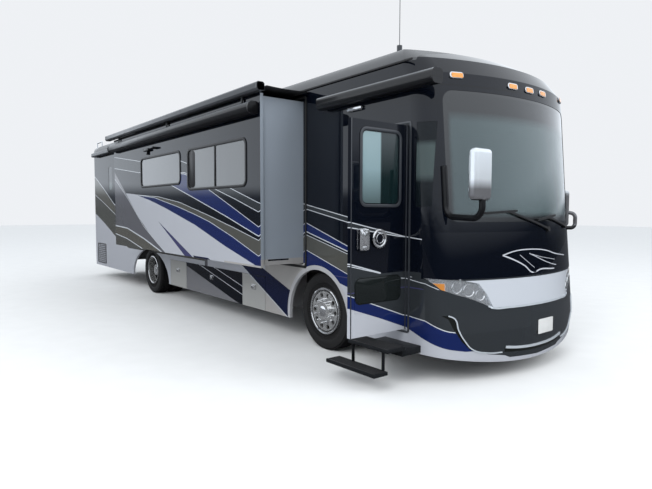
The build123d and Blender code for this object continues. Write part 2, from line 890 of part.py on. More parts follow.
def knuckles():
    """The steering knuckles that carry the front wheels, and the tie rod between their arms."""
    stud_x = front_axle_x - arm_back
    rear = front_axle_x - knuckle_half
    front = front_axle_x + knuckle_half
    rod = rod_y(stud_x, -kingpin_y, kingpin_y, tie_height, tie_radius)
    for name, sign in side_signs:
        y = sign * kingpin_y
        inner = y - sign * knuckle_half
        outer = y + sign * knuckle_out
        back_y = y + sign * knuckle_back
        pin = rod_z(front_axle_x, y, arm_low, knuckle_top, kingpin_radius)
        head = box(rear, front, inner, outer, knuckle_head, knuckle_top)
        foot = box(rear, front, inner, outer, arm_low, knuckle_foot)
        back = box(rear, front, back_y, outer, arm_low, knuckle_top)
        spindle = rod_y(front_axle_x, back_y, sign * (wheel_y + spindle_reach), axle_height,
                        spindle_radius)
        arm = box(stud_x - arm_end, front_axle_x + arm_half, y - arm_half, y + arm_half, arm_low, arm_high)
        stud = rod_z(stud_x, y, tie_height - stud_end, arm_low + 1, tie_stud)
        write(f"knuckle_{name}", union([pin, head, foot, back, spindle, arm, stud]))
        rod = rod + rod_z(stud_x, y, tie_height - tie_eye_half, tie_height + tie_eye_half, tie_eye)
    for _, sign in side_signs:
        rod = rod - rod_z(stud_x, sign * kingpin_y, 0, axle_height, tie_stud + tie_play)
    write("tie_rod", rod)


rim_edge = 10
rim_sheet = 22
disc_half = 12
disc_lap = 10
hand_holes = 10
hand_hole_circle = 200
hand_hole_radius = 29
hub_radius = 110
front_disc_out = 104
front_hub = (-70, 150)
rear_hub_out = 60
wheel_play = 0.1


def tyre(centre_y):
    """One tyre: a closed ring with rounded shoulders round the rim."""
    half = tyre_width / 2
    ring = rod_y(0, centre_y - half, centre_y + half, 0, tyre_radius)
    ring = ring - rod_y(0, centre_y - half - 1, centre_y + half + 1, 0, rim_radius + seat_gap)
    shoulders = [edge for edge in ring.edges().filter_by(GeomType.CIRCLE)
                 if edge.radius > (rim_radius + tyre_radius) / 2]
    return fillet(shoulders, tyre_shoulder)


def rim(centre_y, disc_y, hub_y, bore):
    """One wheel: a rim, a disc with hand holes, and a hub from hub_y's first to its last place."""
    half = tyre_width / 2
    inside = rim_radius - disc_lap
    ring = rod_y(0, centre_y - half + rim_edge, centre_y + half - rim_edge, 0, rim_radius)
    ring = ring - rod_y(0, centre_y - half, centre_y + half, 0, rim_radius - rim_sheet)
    disc = rod_y(0, disc_y - disc_half, disc_y + disc_half, 0, inside)
    collar = rod_y(0, centre_y, disc_y, 0, inside) - rod_y(0, -far, far, 0, inside - rim_sheet)
    hub = rod_y(0, hub_y[0], hub_y[1], 0, hub_radius)
    wheel = union([ring, collar, disc, hub])
    for step in range(hand_holes):
        hole = Pos(hand_hole_circle, 0, 0) * rod_y(0, disc_y - half, disc_y + half, 0, hand_hole_radius)
        wheel = wheel - Rot(0, step * 360 / hand_holes, 0) * hole
    return wheel - rod_y(0, -far, far, 0, bore)


def wheels():
    """Single front wheels on the knuckles and twin rear wheels on the drive axle."""
    for name, sign in side_signs:
        centre = sign * wheel_y
        here = Pos(front_axle_x, 0, axle_height)
        write(f"front_tyre_{name}", here * tyre(centre))
        hub = (centre + sign * front_hub[0], centre + sign * front_hub[1])
        write(f"front_wheel_{name}", here * rim(centre, centre + sign * front_disc_out, hub,
                                                spindle_radius + wheel_play))
        inner = sign * (wheel_y - dual_spacing)
        middle = (centre + inner) / 2
        bore = rear_spindle_radius + wheel_play
        here = Pos(rear_axle_x, 0, axle_height)
        write(f"rear_tyres_{name}", (here * tyre(centre)).solids() + (here * tyre(inner)).solids())
        pair = rim(centre, middle + sign * disc_half, (middle, centre + sign * rear_hub_out), bore)
        pair = pair + rim(inner, middle - sign * disc_half, (inner - sign * rear_hub_out, middle), bore)
        write(f"rear_wheels_{name}", here * pair)


engine_rear_x = rear_x + 350
engine_length = 1050
engine_low = 470
engine_high = 1400
tank_low = 360
tank_corner = 40
tank_rear_x = front_axle_x + 450
tank_length = 260
exhaust_can = 125
exhaust_pipe = 58
exhaust_height = 740
exhaust_rear_x = rear_x + 430
exhaust_length = 920
can_rear_x = rear_x + 550
can_length = 600


def running_gear():
    """The engine block, the fuel tank and the exhaust."""
    side = rail_y - rail_width / 2
    write("engine", box(engine_rear_x, engine_rear_x + engine_length, -side, side, engine_low, engine_high))
    tank = rounded_prism_x(-side + seat_gap, side - seat_gap, tank_low, rail_bottom + 80, tank_corner,
                           tank_rear_x, tank_rear_x + tank_length)
    write("fuel_tank", tank)
    can_y = rail_y + rail_width / 2 + exhaust_can + seat_gap
    can = rod_x(can_rear_x, can_rear_x + can_length, can_y, exhaust_height, exhaust_can)
    pipe = rod_x(exhaust_rear_x, exhaust_rear_x + exhaust_length, can_y, exhaust_height, exhaust_pipe)
    bend = Pos(exhaust_rear_x, can_y, exhaust_height) * Sphere(exhaust_pipe)
    drop = rod_z(exhaust_rear_x, can_y, skirt_bottom + wheel_inset, exhaust_height, exhaust_pipe)
    write("exhaust", union([can, pipe, bend, drop]))


def cargo_bays():
    """A steel luggage tray behind each row of luggage doors, open towards the doors."""
    rear = front_axle_x + bay_doors[0][1]
    front = front_axle_x + bay_doors[-1][2]
    outer_y = half_width - wall - 5
    inner_y = outer_y - bay_depth
    tray = box(rear, front, inner_y, outer_y, bay_door_bottom, rail_top)
    hollow = box(rear + bay_sheet, front - bay_sheet, inner_y + bay_sheet, outer_y + 1,
                 bay_door_bottom + bay_sheet, rail_top - bay_sheet)
    for behind, ahead in zip(bay_doors, bay_doors[1:]):
        x = front_axle_x + (behind[2] + ahead[1]) / 2
        hollow = hollow - box(x - bay_sheet / 2, x + bay_sheet / 2, inner_y, outer_y + 2, 0, far)
    shell_tray = tray - hollow
    write("cargo_bays", shell_tray.solids() + mirrored(shell_tray).solids())


dash_rear_x = front_axle_x + 1480
dash_top = 1480
dash_knee_x = front_axle_x + 1640
dash_knee_z = 1250
steering_wheel_x = front_axle_x + 1330
steering_wheel_z = 1400
steering_wheel_radius = 210
steering_rim = 16
steering_hub = 70
column_tilt = 120
column_radius = 28
column_length = 320
spoke_width = 40
seat_x = front_axle_x + 800
driver_seat_y = 620
co_driver_seat_y = -330
pedestal_half = 180
pedestal_height = 330
cushion_half = 280
cushion_thickness = 170
seat_back = (150, 520, 900)
seat_back_offset = 330
seat_back_tilt = -12
arm_rest_low = 560
arm_rest_high = 640
arm_rest_width = 60


def cab():
    """The dashboard with its steering column, and the two cab seats on their pedestals."""
    dash = envelope(wall + seat_gap) & box(dash_rear_x, far, -half_width, half_width, floor_top, dash_top)
    dash = dash - box(dash_rear_x - wall, dash_knee_x, -half_width, half_width, 0, dash_knee_z)
    hub = Pos(steering_wheel_x, driver_seat_y, steering_wheel_z) * Rot(0, column_tilt, 0)
    column = hub * Pos(0, 0, column_length / 2) * Cylinder(column_radius, column_length)
    ring = hub * Torus(steering_wheel_radius, steering_rim)
    spokes = hub * Box(spoke_width, 2 * steering_wheel_radius - steering_rim, steering_rim)
    boss = hub * Cylinder(steering_hub, spoke_width)
    write("dashboard", union([dash, column, ring, spokes, boss]))
    cushion_low = floor_top + pedestal_height
    seats = []
    for x, y in ((seat_x, driver_seat_y), (seat_x, co_driver_seat_y)):
        pieces = [
            box(x - pedestal_half, x + pedestal_half, y - pedestal_half, y + pedestal_half, floor_top,
                cushion_low),
            box(x - cushion_half, x + cushion_half, y - cushion_half, y + cushion_half, cushion_low,
                cushion_low + cushion_thickness),
            Pos(x - seat_back_offset, y, cushion_low + cushion_thickness + seat_back[2] / 2 - wall)
            * Rot(0, seat_back_tilt, 0) * Box(*seat_back),
        ]
        for side in (-1, 1):
            inner = y + side * (cushion_half - 1)
            outer = y + side * (cushion_half + arm_rest_width)
            pieces.append(box(x - cushion_half, x + pedestal_half, inner, outer, floor_top + arm_rest_low,
                              floor_top + arm_rest_high))
            pieces.append(box(x - cushion_half, x - pedestal_half, inner, outer, cushion_low,
                              floor_top + arm_rest_low + 1))
        seats.append(union(pieces))
    write("cab_seats", [seat.solids()[0] for seat in seats])


# Roof units: places along the roof and sizes.
air_conditioners = (front_axle_x - 1250, front_axle_x - 4550, rear_x + 2050)
roof_hatches = (front_axle_x + 150, front_axle_x - 3000, rear_axle_x - 510)
unit_length = 1000
unit_width = 720
unit_rise = 212
unit_corner = 80
hatch_size = 400
hatch_rise = 80
unit_root = 100


def roof_units():
    """Air-conditioner shrouds and hatches that sit on the crowned roof."""
    root = roof_height - unit_root
    units = []
    for x in air_conditioners:
        block = rounded_prism_x(-unit_width / 2, unit_width / 2, root, roof_height + unit_rise,
                                unit_corner, x - unit_length / 2, x + unit_length / 2)
        units.append((block - outer_body).solids().sort_by(Axis.Z)[-1])
    for x in roof_hatches:
        half = hatch_size / 2
        block = box(x - half, x + half, -half, half, root, roof_height + hatch_rise)
        units.append((block - outer_body).solids().sort_by(Axis.Z)[-1])
    write("roof_units", units)


whip_x = front_axle_x + 884
whip_y = -860
whip_radius = 4
whip_length = 1030
whip_stalk = 14
whip_foot = 45
whip_blob = 30
whip_blob_low = roof_height + 40
whip_blob_high = roof_height + 100


def antenna():
    """A thin whip over a small round case, on a stalk from the roof."""
    foot = rod_z(whip_x, whip_y, roof_height - unit_root, roof_height - 12, whip_foot)
    stalk = rod_z(whip_x, whip_y, roof_height - unit_root, whip_blob_low + 1, whip_stalk)
    blob = rod_z(whip_x, whip_y, whip_blob_low, whip_blob_high, whip_blob)
    whip = rod_z(whip_x, whip_y, whip_blob_high - 1, whip_blob_high + whip_length, whip_radius)
    base = (foot + stalk) - outer_body
    write("antenna", base.solids().sort_by(Axis.Z)[-1] + blob + whip)


ladder_y = -960
ladder_half = 170
ladder_tube = 16
ladder_rung = 13
ladder_stay = 12
ladder_low = 900
ladder_over = 330
ladder_rungs = 9
ladder_first = 60
ladder_pitch = 285
ladder_stays = (1000, 1900, slide_top - 158)


def ladder():
    """A tube ladder on the rear wall, with its rails bent over the roof's edge."""
    x = rear_x - ladder_reach + ladder_tube
    top = roof_height + 50
    end = rear_x + ladder_over
    pieces = []
    for side in (-1, 1):
        y = ladder_y + side * ladder_half
        pieces.append(rod_z(x, y, ladder_low, top, ladder_tube))
        pieces.append(rod_x(x, end, y, top, ladder_tube))
        pieces.append(Pos(x, y, top) * Sphere(ladder_tube))
        pieces.append(Pos(end, y, top) * Sphere(ladder_tube))
        pieces.append(rod_z(end, y, roof_height - unit_root, top, ladder_tube) - outer_body)
        for z in ladder_stays:
            pieces.append(rod_x(x, rear_x - seat_gap, y, z, ladder_stay))
    for step in range(ladder_rungs):
        pieces.append(rod_y(x, ladder_y - ladder_half, ladder_y + ladder_half,
                            ladder_low + ladder_first + step * ladder_pitch, ladder_rung))
    write("rear_ladder", union(pieces))


door_case_proud = 150
door_case_low = gutter_height - 315
door_case_high = gutter_height - 175
door_case_corner = 45
door_case_rear = front_axle_x + 110
door_case_front = front_axle_x + 1860
rear_case_proud = 120
rear_case_low = gutter_height - 130
rear_case_high = gutter_height - 30
rear_case_corner = 25


def awnings():
    """The door awning's case and the rear topper's case on the right wall."""
    wall_y = -half_width - seat_gap
    door_case = rounded_prism_x(wall_y - door_case_proud, wall_y, door_case_low, door_case_high,
                                door_case_corner, door_case_rear, door_case_front)
    rear_case = rounded_prism_x(wall_y - rear_case_proud, wall_y, rear_case_low, rear_case_high,
                                rear_case_corner, rear_seam_x + 20, slide_rear_x - roller_overhang - 60)
    write("awnings", [door_case, rear_case])


# Clearance lamps over the windshield: distance from the middle and height.
marker_places = (
    (-960, gutter_height - 165),
    (-280, gutter_height - 208),
    (0, gutter_height - 212),
    (280, gutter_height - 208),
    (960, gutter_height - 165),
)
marker_half = 55
marker_rise = 22
marker_proud = 18


def marker_lights():
    """Small lamps along the front cap's brow."""
    skin = envelope(-marker_proud) - seat_body
    lamps = []
    for y, z in marker_places:
        slot = box(nose_x - nose_depth, nose_x + wall, y - marker_half, y + marker_half,
                   z - marker_rise, z + marker_rise)
        lamps.append((skin & slot).solids()[0])
    write("marker_lights", lamps)


# Mirror heads' centres, and the points that their arms run through from the body.
mirror_size = (100, 240, 455)
mirror_corner = 40
mirror_arm = 29
mirror_bend = 110
mirror_head_height = 2030
mirror_head_x = nose_x + mirror_reach - mirror_size[0] / 2
mirror_head_y = -1230
right_arm_points = (
    (front_axle_x + 1768, -1140, mirror_head_height + 110),
    (front_axle_x + 1808, -1140, mirror_head_height - 375),
    (mirror_head_x + 20, mirror_head_y + 10, mirror_head_height - 390),
    (mirror_head_x + 20, mirror_head_y + 10, mirror_head_height - 180),
)
folded_head_x = front_axle_x + 1540
folded_head_y = half_width + 138
folded_head_z = 1748
folded_arm = 24
folded_bend = 60
left_arm_points = (
    (front_axle_x + 1590, half_width - 60, 1500),
    (front_axle_x + 1720, half_width + 205, 1500),
    (front_axle_x + 1720, half_width + 205, 1680),
    (front_axle_x + 1600, half_width + 150, 1700),
)


def bent_tube(points, bend, radius):
    """A round tube through the given points with its corners rounded."""
    path = FilletPolyline(*points, radius=bend)
    return sweep(Plane(origin=path @ 0, z_dir=path % 0) * Circle(radius), path=path)


def mirrors():
    """The right mirror on its bent arm and the left one folded back against the body."""
    head = fillet(Box(*mirror_size).edges(), mirror_corner)
    arm = bent_tube(right_arm_points, mirror_bend, mirror_arm) - seat_body
    right = Pos(mirror_head_x, mirror_head_y, mirror_head_height) * head
    right = right + arm.solids().sort_by(SortBy.VOLUME)[-1]
    folded = bent_tube(left_arm_points, folded_bend, folded_arm) - seat_body
    left = Pos(folded_head_x, folded_head_y, folded_head_z) * Rot(0, 0, 90) * head
    left = left + folded.solids().sort_by(SortBy.VOLUME)[-1]
    write("mirrors", right.solids() + left.solids())


# Wipers seen from the front: blade and arm, each from one point to another, distance and height.
wiper_lines = (
    ((-780, 1686, -330, 1712), (-450, 1705, 243, 1520)),
    ((20, 1617, 430, 1664), (250, 1644, 803, 1542)),
)
wiper_half = 10
wiper_pivot = 28
wiper_proud = 26


def wipers():
    """Two wipers parked across the bottom of the windshield."""
    skin = envelope(-wiper_proud) - seat_body
    blades = []
    for blade, arm in wiper_lines:
        front = rod_x(nose_x - nose_depth, far, arm[2], arm[3], wiper_pivot)
        for y0, z0, y1, z1 in (blade, arm):
            length = sqrt((y1 - y0) ** 2 + (z1 - z0) ** 2)
            across = (wiper_half * (z1 - z0) / length, wiper_half * (y1 - y0) / length)
            rows = (
                (y0 + across[0], z0 - across[1]),
                (y1 + across[0], z1 - across[1]),
                (y1 - across[0], z1 + across[1]),
                (y0 - across[0], z0 + across[1]),
            )
            front = front + section_x(rows, nose_x - nose_depth, far)
        blades.append((skin & front).solids().sort_by(SortBy.VOLUME)[-1])
    write("wipers", blades)


os.makedirs("parts", exist_ok=True)
side_walls()
roof_panel()
front_cap()
bumper()
headlights()
rear_cap()
engine_door()
tail_lamps()
windshield()
body_glass()
slide_outs()
bay_panels()
entry_door()
entry_door_glass()
entry_steps()
floor_deck()
stepwell()
chassis()
cross_members()
axles()
knuckles()
wheels()
running_gear()
cargo_bays()
cab()
roof_units()
antenna()
ladder()
awnings()
marker_lights()
mirrors()
wipers()
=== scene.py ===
"""A rear-engined motorhome in full-body paint, slide-outs out and entry door open."""

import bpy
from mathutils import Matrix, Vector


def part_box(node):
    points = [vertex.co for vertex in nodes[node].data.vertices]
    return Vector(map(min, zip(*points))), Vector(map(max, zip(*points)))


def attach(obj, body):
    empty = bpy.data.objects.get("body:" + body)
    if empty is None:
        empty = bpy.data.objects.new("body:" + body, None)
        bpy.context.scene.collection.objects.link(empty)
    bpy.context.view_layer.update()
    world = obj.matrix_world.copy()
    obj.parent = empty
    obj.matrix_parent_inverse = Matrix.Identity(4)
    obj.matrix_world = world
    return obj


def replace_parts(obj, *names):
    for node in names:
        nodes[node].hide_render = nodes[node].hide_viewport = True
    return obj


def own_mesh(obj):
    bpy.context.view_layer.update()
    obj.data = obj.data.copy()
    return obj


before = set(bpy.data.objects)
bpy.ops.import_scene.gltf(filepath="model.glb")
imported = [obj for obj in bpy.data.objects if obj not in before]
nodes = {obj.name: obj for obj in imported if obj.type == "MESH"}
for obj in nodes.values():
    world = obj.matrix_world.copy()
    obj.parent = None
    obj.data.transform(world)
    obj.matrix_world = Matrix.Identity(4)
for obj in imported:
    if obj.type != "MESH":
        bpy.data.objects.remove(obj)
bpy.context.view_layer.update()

from math import radians, cos, sin, pi
import bmesh
import bpy
from mathutils import Matrix, Vector
from mathutils.bvhtree import BVHTree


# The camera stands off the front right corner at eye height, where the photograph was taken.
camera_place = Vector((8.996, -5.236, 1.706))
camera_yaw = radians(38.046)
camera_pitch = radians(3.574)
camera_roll = radians(0.146)
view = Vector((-cos(camera_yaw) * cos(camera_pitch), sin(camera_yaw) * cos(camera_pitch),
               -sin(camera_pitch)))
level = view.cross(Vector((0, 0, 1))).normalized()
upright = level.cross(view)
rolled = level * cos(camera_roll) + upright * sin(camera_roll)
risen = upright * cos(camera_roll) - level * sin(camera_roll)
camera = bpy.data.objects.new("camera", bpy.data.cameras.new("camera"))
camera.data.sensor_width = 36
camera.data.lens = 29.70
camera.matrix_world = Matrix.Translation(camera_place) @ Matrix((rolled, risen, -view)).transposed().to_4x4()
bpy.context.collection.objects.link(camera)
bpy.context.scene.camera = camera
bpy.context.scene.view_settings.view_transform = "Standard"


# Every surface is finished by shader maths, so the tools for it come with the first surface,
# the pale floor. A Number is a socket that adds, multiplies and compares like a number.
class Number:
    """A number on a socket; + - * / < and > add Math nodes to its finish."""

    def __init__(self, finish, socket):
        self.finish = finish
        self.socket = socket

    def math(self, operation, *others):
        return self.finish.node("Math", {"operation": operation}, dict(enumerate((self,) + others)))

    def __add__(self, other):
        return self.math("ADD", other)

    def __mul__(self, other):
        return self.math("MULTIPLY", other)

    def __sub__(self, other):
        return self.math("SUBTRACT", other)

    def __truediv__(self, other):
        return self.math("DIVIDE", other)

    def __gt__(self, other):
        return self.math("GREATER_THAN", other)

    def __lt__(self, other):
        return self.math("LESS_THAN", other)

    def __rsub__(self, other):
        return self.finish.node("Math", {"operation": "SUBTRACT"}, {0: other, 1: self})

    def __abs__(self):
        return self.math("ABSOLUTE")

    __radd__ = __add__
    __rmul__ = __mul__

    def most(self, other):
        return self.math("MAXIMUM", other)


class Finish:
    """A material's nodes: its surface shader and one way to add any other node."""

    def __init__(self, name, color=(0.5, 0.5, 0.5), **settings):
        self.block = bpy.data.materials.new(name)
        self.block.use_nodes = True
        self.tree = self.block.node_tree
        self.surface = self.tree.nodes["Principled BSDF"]
        self.give(**{"Base Color": (*color, 1)})
        for socket, value in settings.items():
            self.give(**{socket.replace("_", " ").title().replace("Ior", "IOR"): value})

    def give(self, **sockets):
        self.fill(self.surface, sockets)

    def fill(self, target, sockets):
        for name, value in sockets.items():
            if isinstance(value, Number):
                self.tree.links.new(value.socket, target.inputs[name])
            else:
                target.inputs[name].default_value = value

    def node(self, kind, settings=None, sockets=None, output=0):
        made = self.tree.nodes.new("ShaderNode" + kind)
        for name, value in (settings or {}).items():
            if name == "stops":
                elements = made.color_ramp.elements
                while len(elements) < len(value):
                    elements.new(1)
                for element, (place, level) in zip(elements, value):
                    element.position = place
                    element.color = (level, level, level, 1)
            else:
                setattr(made, name, value)
        self.fill(made, sockets or {})
        return Number(self, made.outputs[output])

    def axes(self):
        place = self.node("TexCoord", output="Object")
        return [self.node("SeparateXYZ", sockets={"Vector": place}, output=axis) for axis in "XYZ"]

    def stretched(self, stretch=(1, 1, 1)):
        place = self.node("TexCoord", output="Object")
        return self.node("Mapping", sockets={"Vector": place, "Scale": stretch})

    def noise(self, scale, detail=3.0, roughness=0.5, stretch=(1, 1, 1)):
        return self.node("TexNoise", sockets={"Vector": self.stretched(stretch), "Scale": scale,
                                              "Detail": detail, "Roughness": roughness}, output="Fac")

    def waves(self, scale, direction, stretch=(1, 1, 1), distortion=0.0):
        return self.node("TexWave", {"bands_direction": direction},
                         {"Vector": self.stretched(stretch), "Scale": scale, "Distortion": distortion},
                         output="Fac")

    def between(self, amount, low, high, start=0.0, end=1.0):
        return self.node("MapRange", sockets={"Value": amount, "From Min": start, "From Max": end,
                                              "To Min": low, "To Max": high})

    def tint(self, amount, first, second):
        """Colour that goes from the first to the second as amount goes from 0 to 1."""
        sockets = {0: amount}
        for index, color in ((6, first), (7, second)):
            sockets[index] = color if isinstance(color, Number) else (*color, 1)
        return self.node("Mix", {"data_type": "RGBA"}, sockets, output=2)

    def bump(self, height, strength, distance):
        return self.node("Bump", sockets={"Height": height, "Strength": strength, "Distance": distance})

    def wear_and_light_mix(self, mix_mask, first, second, rough=None, bumps=None):
        """Colour and roughness that follow the mix mask (wear on most finishes, painted shade on the floor's
        reflections, painted reflection on glass), and a bump from (height, strength, distance).
        """
        self.give(**{"Base Color": self.tint(mix_mask, first, second)})
        if rough:
            self.give(Roughness=self.between(mix_mask, *rough))
        if bumps:
            self.give(Normal=self.bump(*bumps))


# The floor is a plain pale sheet. Glossy rays see it far darker than the camera does: painted shade, so the
# floor's reflections in the vehicle are dark.
floor_half = 60
ground = bmesh.new()
bmesh.ops.create_grid(ground, x_segments=1, y_segments=1, size=floor_half)
floor_mesh = bpy.data.meshes.new("ground")
ground.to_mesh(floor_mesh)
ground.free()
floor_finish = Finish("ground", roughness=0.9, specular_ior_level=0.1)
grain = floor_finish.noise(3.0, 6)
pale = floor_finish.tint(grain, (0.74, 0.74, 0.73), (0.80, 0.80, 0.79))
glossy = floor_finish.node("LightPath", output="Is Glossy Ray")
floor_finish.wear_and_light_mix(glossy, pale, (0.06, 0.06, 0.065))
floor_mesh.materials.append(floor_finish.block)
floor = bpy.data.objects.new("ground", floor_mesh)
bpy.context.collection.objects.link(floor)


# A pale bluish dome lights the vehicle, brighter overhead, dark near the ground and darker still
# ahead of the nose, so that gloss has something to show. Broad lamps, hidden from gloss, give it
# shape. The camera sees the dome plain.
world = bpy.data.worlds.new("dome")
bpy.context.scene.world = world
world.use_nodes = True
dome = world.node_tree
background = dome.nodes["Background"]
direction = dome.nodes.new("ShaderNodeTexCoord")
heading = dome.nodes.new("ShaderNodeSeparateXYZ")
seen = dome.nodes.new("ShaderNodeLightPath")
choice = dome.nodes.new("ShaderNodeMix")
choice.data_type = "RGBA"
# Each step: how high the direction points, and the dome's colour there.
behind_steps = ((0.0, (0.10, 0.11, 0.12)), (0.025, (0.18, 0.20, 0.23)), (0.045, (1.10, 1.19, 1.30)),
                (0.35, (1.05, 1.11, 1.18)), (1.0, (0.95, 0.99, 1.04)))
ahead_steps = ((0.0, (0.02, 0.022, 0.025)), (0.06, (0.04, 0.045, 0.05)), (0.13, (0.70, 0.76, 0.84)),
               (0.35, (1.00, 1.06, 1.14)), (1.0, (0.95, 0.99, 1.04)))
turning = dome.nodes.new("ShaderNodeMapRange")
turning.inputs["From Min"].default_value = -0.35
turning.inputs["From Max"].default_value = 0.35
around = dome.nodes.new("ShaderNodeMix")
around.data_type = "RGBA"
choice.inputs[7].default_value = (0.86, 0.88, 0.91, 1)
dome.links.new(direction.outputs["Generated"], heading.inputs[0])
for steps, socket in ((behind_steps, around.inputs[6]), (ahead_steps, around.inputs[7])):
    ramp = dome.nodes.new("ShaderNodeValToRGB")
    while len(ramp.color_ramp.elements) < len(steps):
        ramp.color_ramp.elements.new(1)
    for element, (place, color) in zip(ramp.color_ramp.elements, steps):
        element.position = place
        element.color = (*color, 1)
    dome.links.new(heading.outputs["Z"], ramp.inputs["Fac"])
    dome.links.new(ramp.outputs["Color"], socket)
dome.links.new(heading.outputs["X"], turning.inputs["Value"])
dome.links.new(turning.outputs["Result"], around.inputs[0])
dome.links.new(around.outputs[2], choice.inputs[6])
dome.links.new(seen.outputs["Is Camera Ray"], choice.inputs[0])
dome.links.new(choice.outputs[2], background.inputs["Color"])
background.inputs["Strength"].default_value = 1.0
# Each lamp: name, place, aimed at, size and power.
for name, place, aim, size, power in (
        ("key", (12, -17, 14), (0, 0, 1), 10, 2300),
        ("fill", (-6, -18, 9), (-3, 0, 1), 10, 500),
        ("ahead", (18, 4, 9), (4, 0, 1), 10, 1300)):
    lamp = bpy.data.objects.new(name, bpy.data.lights.new(name, "AREA"))
    lamp.data.size = size
    lamp.data.energy = power
    lamp.data.color = (0.96, 0.98, 1.0)
    lamp.visible_glossy = False
    turn = (Vector(aim) - Vector(place)).to_track_quat("-Z", "Y")
    lamp.matrix_world = Matrix.Translation(place) @ turn.to_matrix().to_4x4()
    bpy.context.collection.objects.link(lamp)


# The frame, its cross-members, the axle beams and the tank are welded steel under black chassis
# paint, dulled by road dust.
def dress(finish, *names):
    """Puts a finish on whole CAD nodes."""
    for name in names:
        for slot in nodes[name].material_slots:
            slot.material = finish.block


chassis_paint = Finish("chassis_paint")
dust = chassis_paint.noise(5.0, 6, 0.6)
chassis_paint.wear_and_light_mix(dust, (0.016, 0.016, 0.018), (0.06, 0.055, 0.05), (0.35, 0.75),
                   (chassis_paint.noise(60.0), 0.15, 0.002))
dress(chassis_paint, "chassis_frame", "cross_members", "front_axle", "tie_rod", "fuel_tank", "exhaust")

# Knuckles, the drive axle and the engine block are castings, rough and dark with oil film.
casting = Finish("casting", metallic=0.7)
skin = casting.noise(24.0, 5)
casting.wear_and_light_mix(skin, (0.05, 0.05, 0.05), (0.15, 0.145, 0.14), (0.45, 0.8),
             (casting.noise(140.0, 2), 0.4, 0.002))
dress(casting, "knuckle_left", "knuckle_right", "rear_axle", "engine")

# Air springs are moulded rubber bellows with ridges round them.
bellows = Finish("bellows_rubber", (0.03, 0.03, 0.03), roughness=0.7)
bellows.give(Normal=bellows.bump(bellows.waves(6.0, "Z"), 0.8, 0.01))
dress(bellows, "air_springs")

# The luggage trays are pressed steel in grey paint, scuffed by what slides over them.
tray_paint = Finish("tray_paint")
scuff = tray_paint.noise(9.0, 6, 0.6)
tray_paint.wear_and_light_mix(scuff, (0.18, 0.18, 0.19), (0.27, 0.27, 0.28), (0.35, 0.6))
dress(tray_paint, "cargo_bays")


# Tyres: radial truck tyres with five ribs, sunk shoulder lugs and raised rings on the wall. Each
# is turned from its section, and the lugs are inset in the turned shoulders.
def piece_from(mesh, name, finish, body="root"):
    """An object from a finished bmesh, in its finish, riding on its body."""
    data = bpy.data.meshes.new(name)
    mesh.to_mesh(data)
    mesh.free()
    data.materials.append(finish.block)
    made = bpy.data.objects.new(name, data)
    bpy.context.collection.objects.link(made)
    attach(made, body)
    return made


def add(mesh, part, place=Matrix()):
    """Moves a part to its place and joins it to a mesh."""
    bmesh.ops.transform(part, matrix=place, verts=part.verts)
    scratch = bpy.data.meshes.new("scratch")
    part.to_mesh(scratch)
    part.free()
    mesh.from_mesh(scratch)
    bpy.data.meshes.remove(scratch)


def turned(rows, steps, centre, closed=True):
    """A ring turned about an axle along Y from rows of (across, radius)."""
    mesh = bmesh.new()
    spots = [mesh.verts.new((centre[0] + radius, centre[1] + across, centre[2])) for across, radius in rows]
    last = spots[1:] + spots[:1] if closed else spots[1:]
    edges = [mesh.edges.new(pair) for pair in zip(spots, last)]
    bmesh.ops.spin(mesh, geom=spots + edges, cent=centre, axis=(0, 1, 0), angle=2 * pi, steps=steps,
                   use_merge=True)
    bmesh.ops.remove_doubles(mesh, verts=mesh.verts, dist=1e-6)
    bmesh.ops.recalc_face_normals(mesh, faces=mesh.faces)
    return mesh


def smooth(made, angle=35):
    """Smooth shading that keeps edges sharper than the angle."""
    for face in made.data.polygons:
        face.use_smooth = True
    made.data.set_sharp_from_angle(angle=radians(angle))
    return made


def fitted(name, finish, parts, body="root", angle=35):
    """A smooth piece joined from pairs of a part and its place."""
    mesh = bmesh.new()
    for part, place in parts:
        add(mesh, part, place)
    return smooth(piece_from(mesh, name, finish, body), angle)


axle_low, axle_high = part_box("front_tyre_right")
tyre_radius = (axle_high[2] - axle_low[2]) / 2
tyre_half = (axle_high[1] - axle_low[1]) / 2
front_axle_x = (axle_low[0] + axle_high[0]) / 2
axle_z = tyre_radius
wheel_y = -(axle_low[1] + axle_high[1]) / 2
rear_low, rear_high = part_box("rear_tyres_right")
rear_axle_x = (rear_low[0] + rear_high[0]) / 2
twin_y = wheel_y - 0.305
rim_radius = 0.286
tread_depth = 0.012
shoulder = 0.108

tyre_rubber = Finish("tyre_rubber")
road = tyre_rubber.noise(8.0, 6, 0.65)
tyre_rubber.wear_and_light_mix(road, (0.004, 0.004, 0.005), (0.014, 0.013, 0.012), (0.55, 0.85),
                 (tyre_rubber.noise(180.0, 2), 0.25, 0.001))


def tyre_section():
    """Rows of (across, radius) round a tyre, with grooves between its ribs and rings on its wall."""
    top = tyre_radius - 0.001
    base = top - tread_depth
    rows = []
    for start, end in ((-0.100, -0.062), (-0.054, -0.022), (-0.014, 0.014), (0.022, 0.054), (0.062, 0.100)):
        rows += [(start, base), (start + 0.0015, top), (end - 0.0015, top), (end, base)]
    rows[0] = (-shoulder, top - 0.004)
    rows[-1] = (shoulder, top - 0.004)
    wall = [(0.1215, top - 0.022), (tyre_half - 0.001, top - 0.062), (tyre_half, 0.392),
            (tyre_half - 0.001, 0.372), (tyre_half - 0.004, 0.368), (tyre_half - 0.004, 0.352),
            (tyre_half - 0.012, 0.326), (0.112, 0.304), (0.104, rim_radius + 0.003)]
    return rows + wall + [(-across, radius) for across, radius in reversed(wall)]


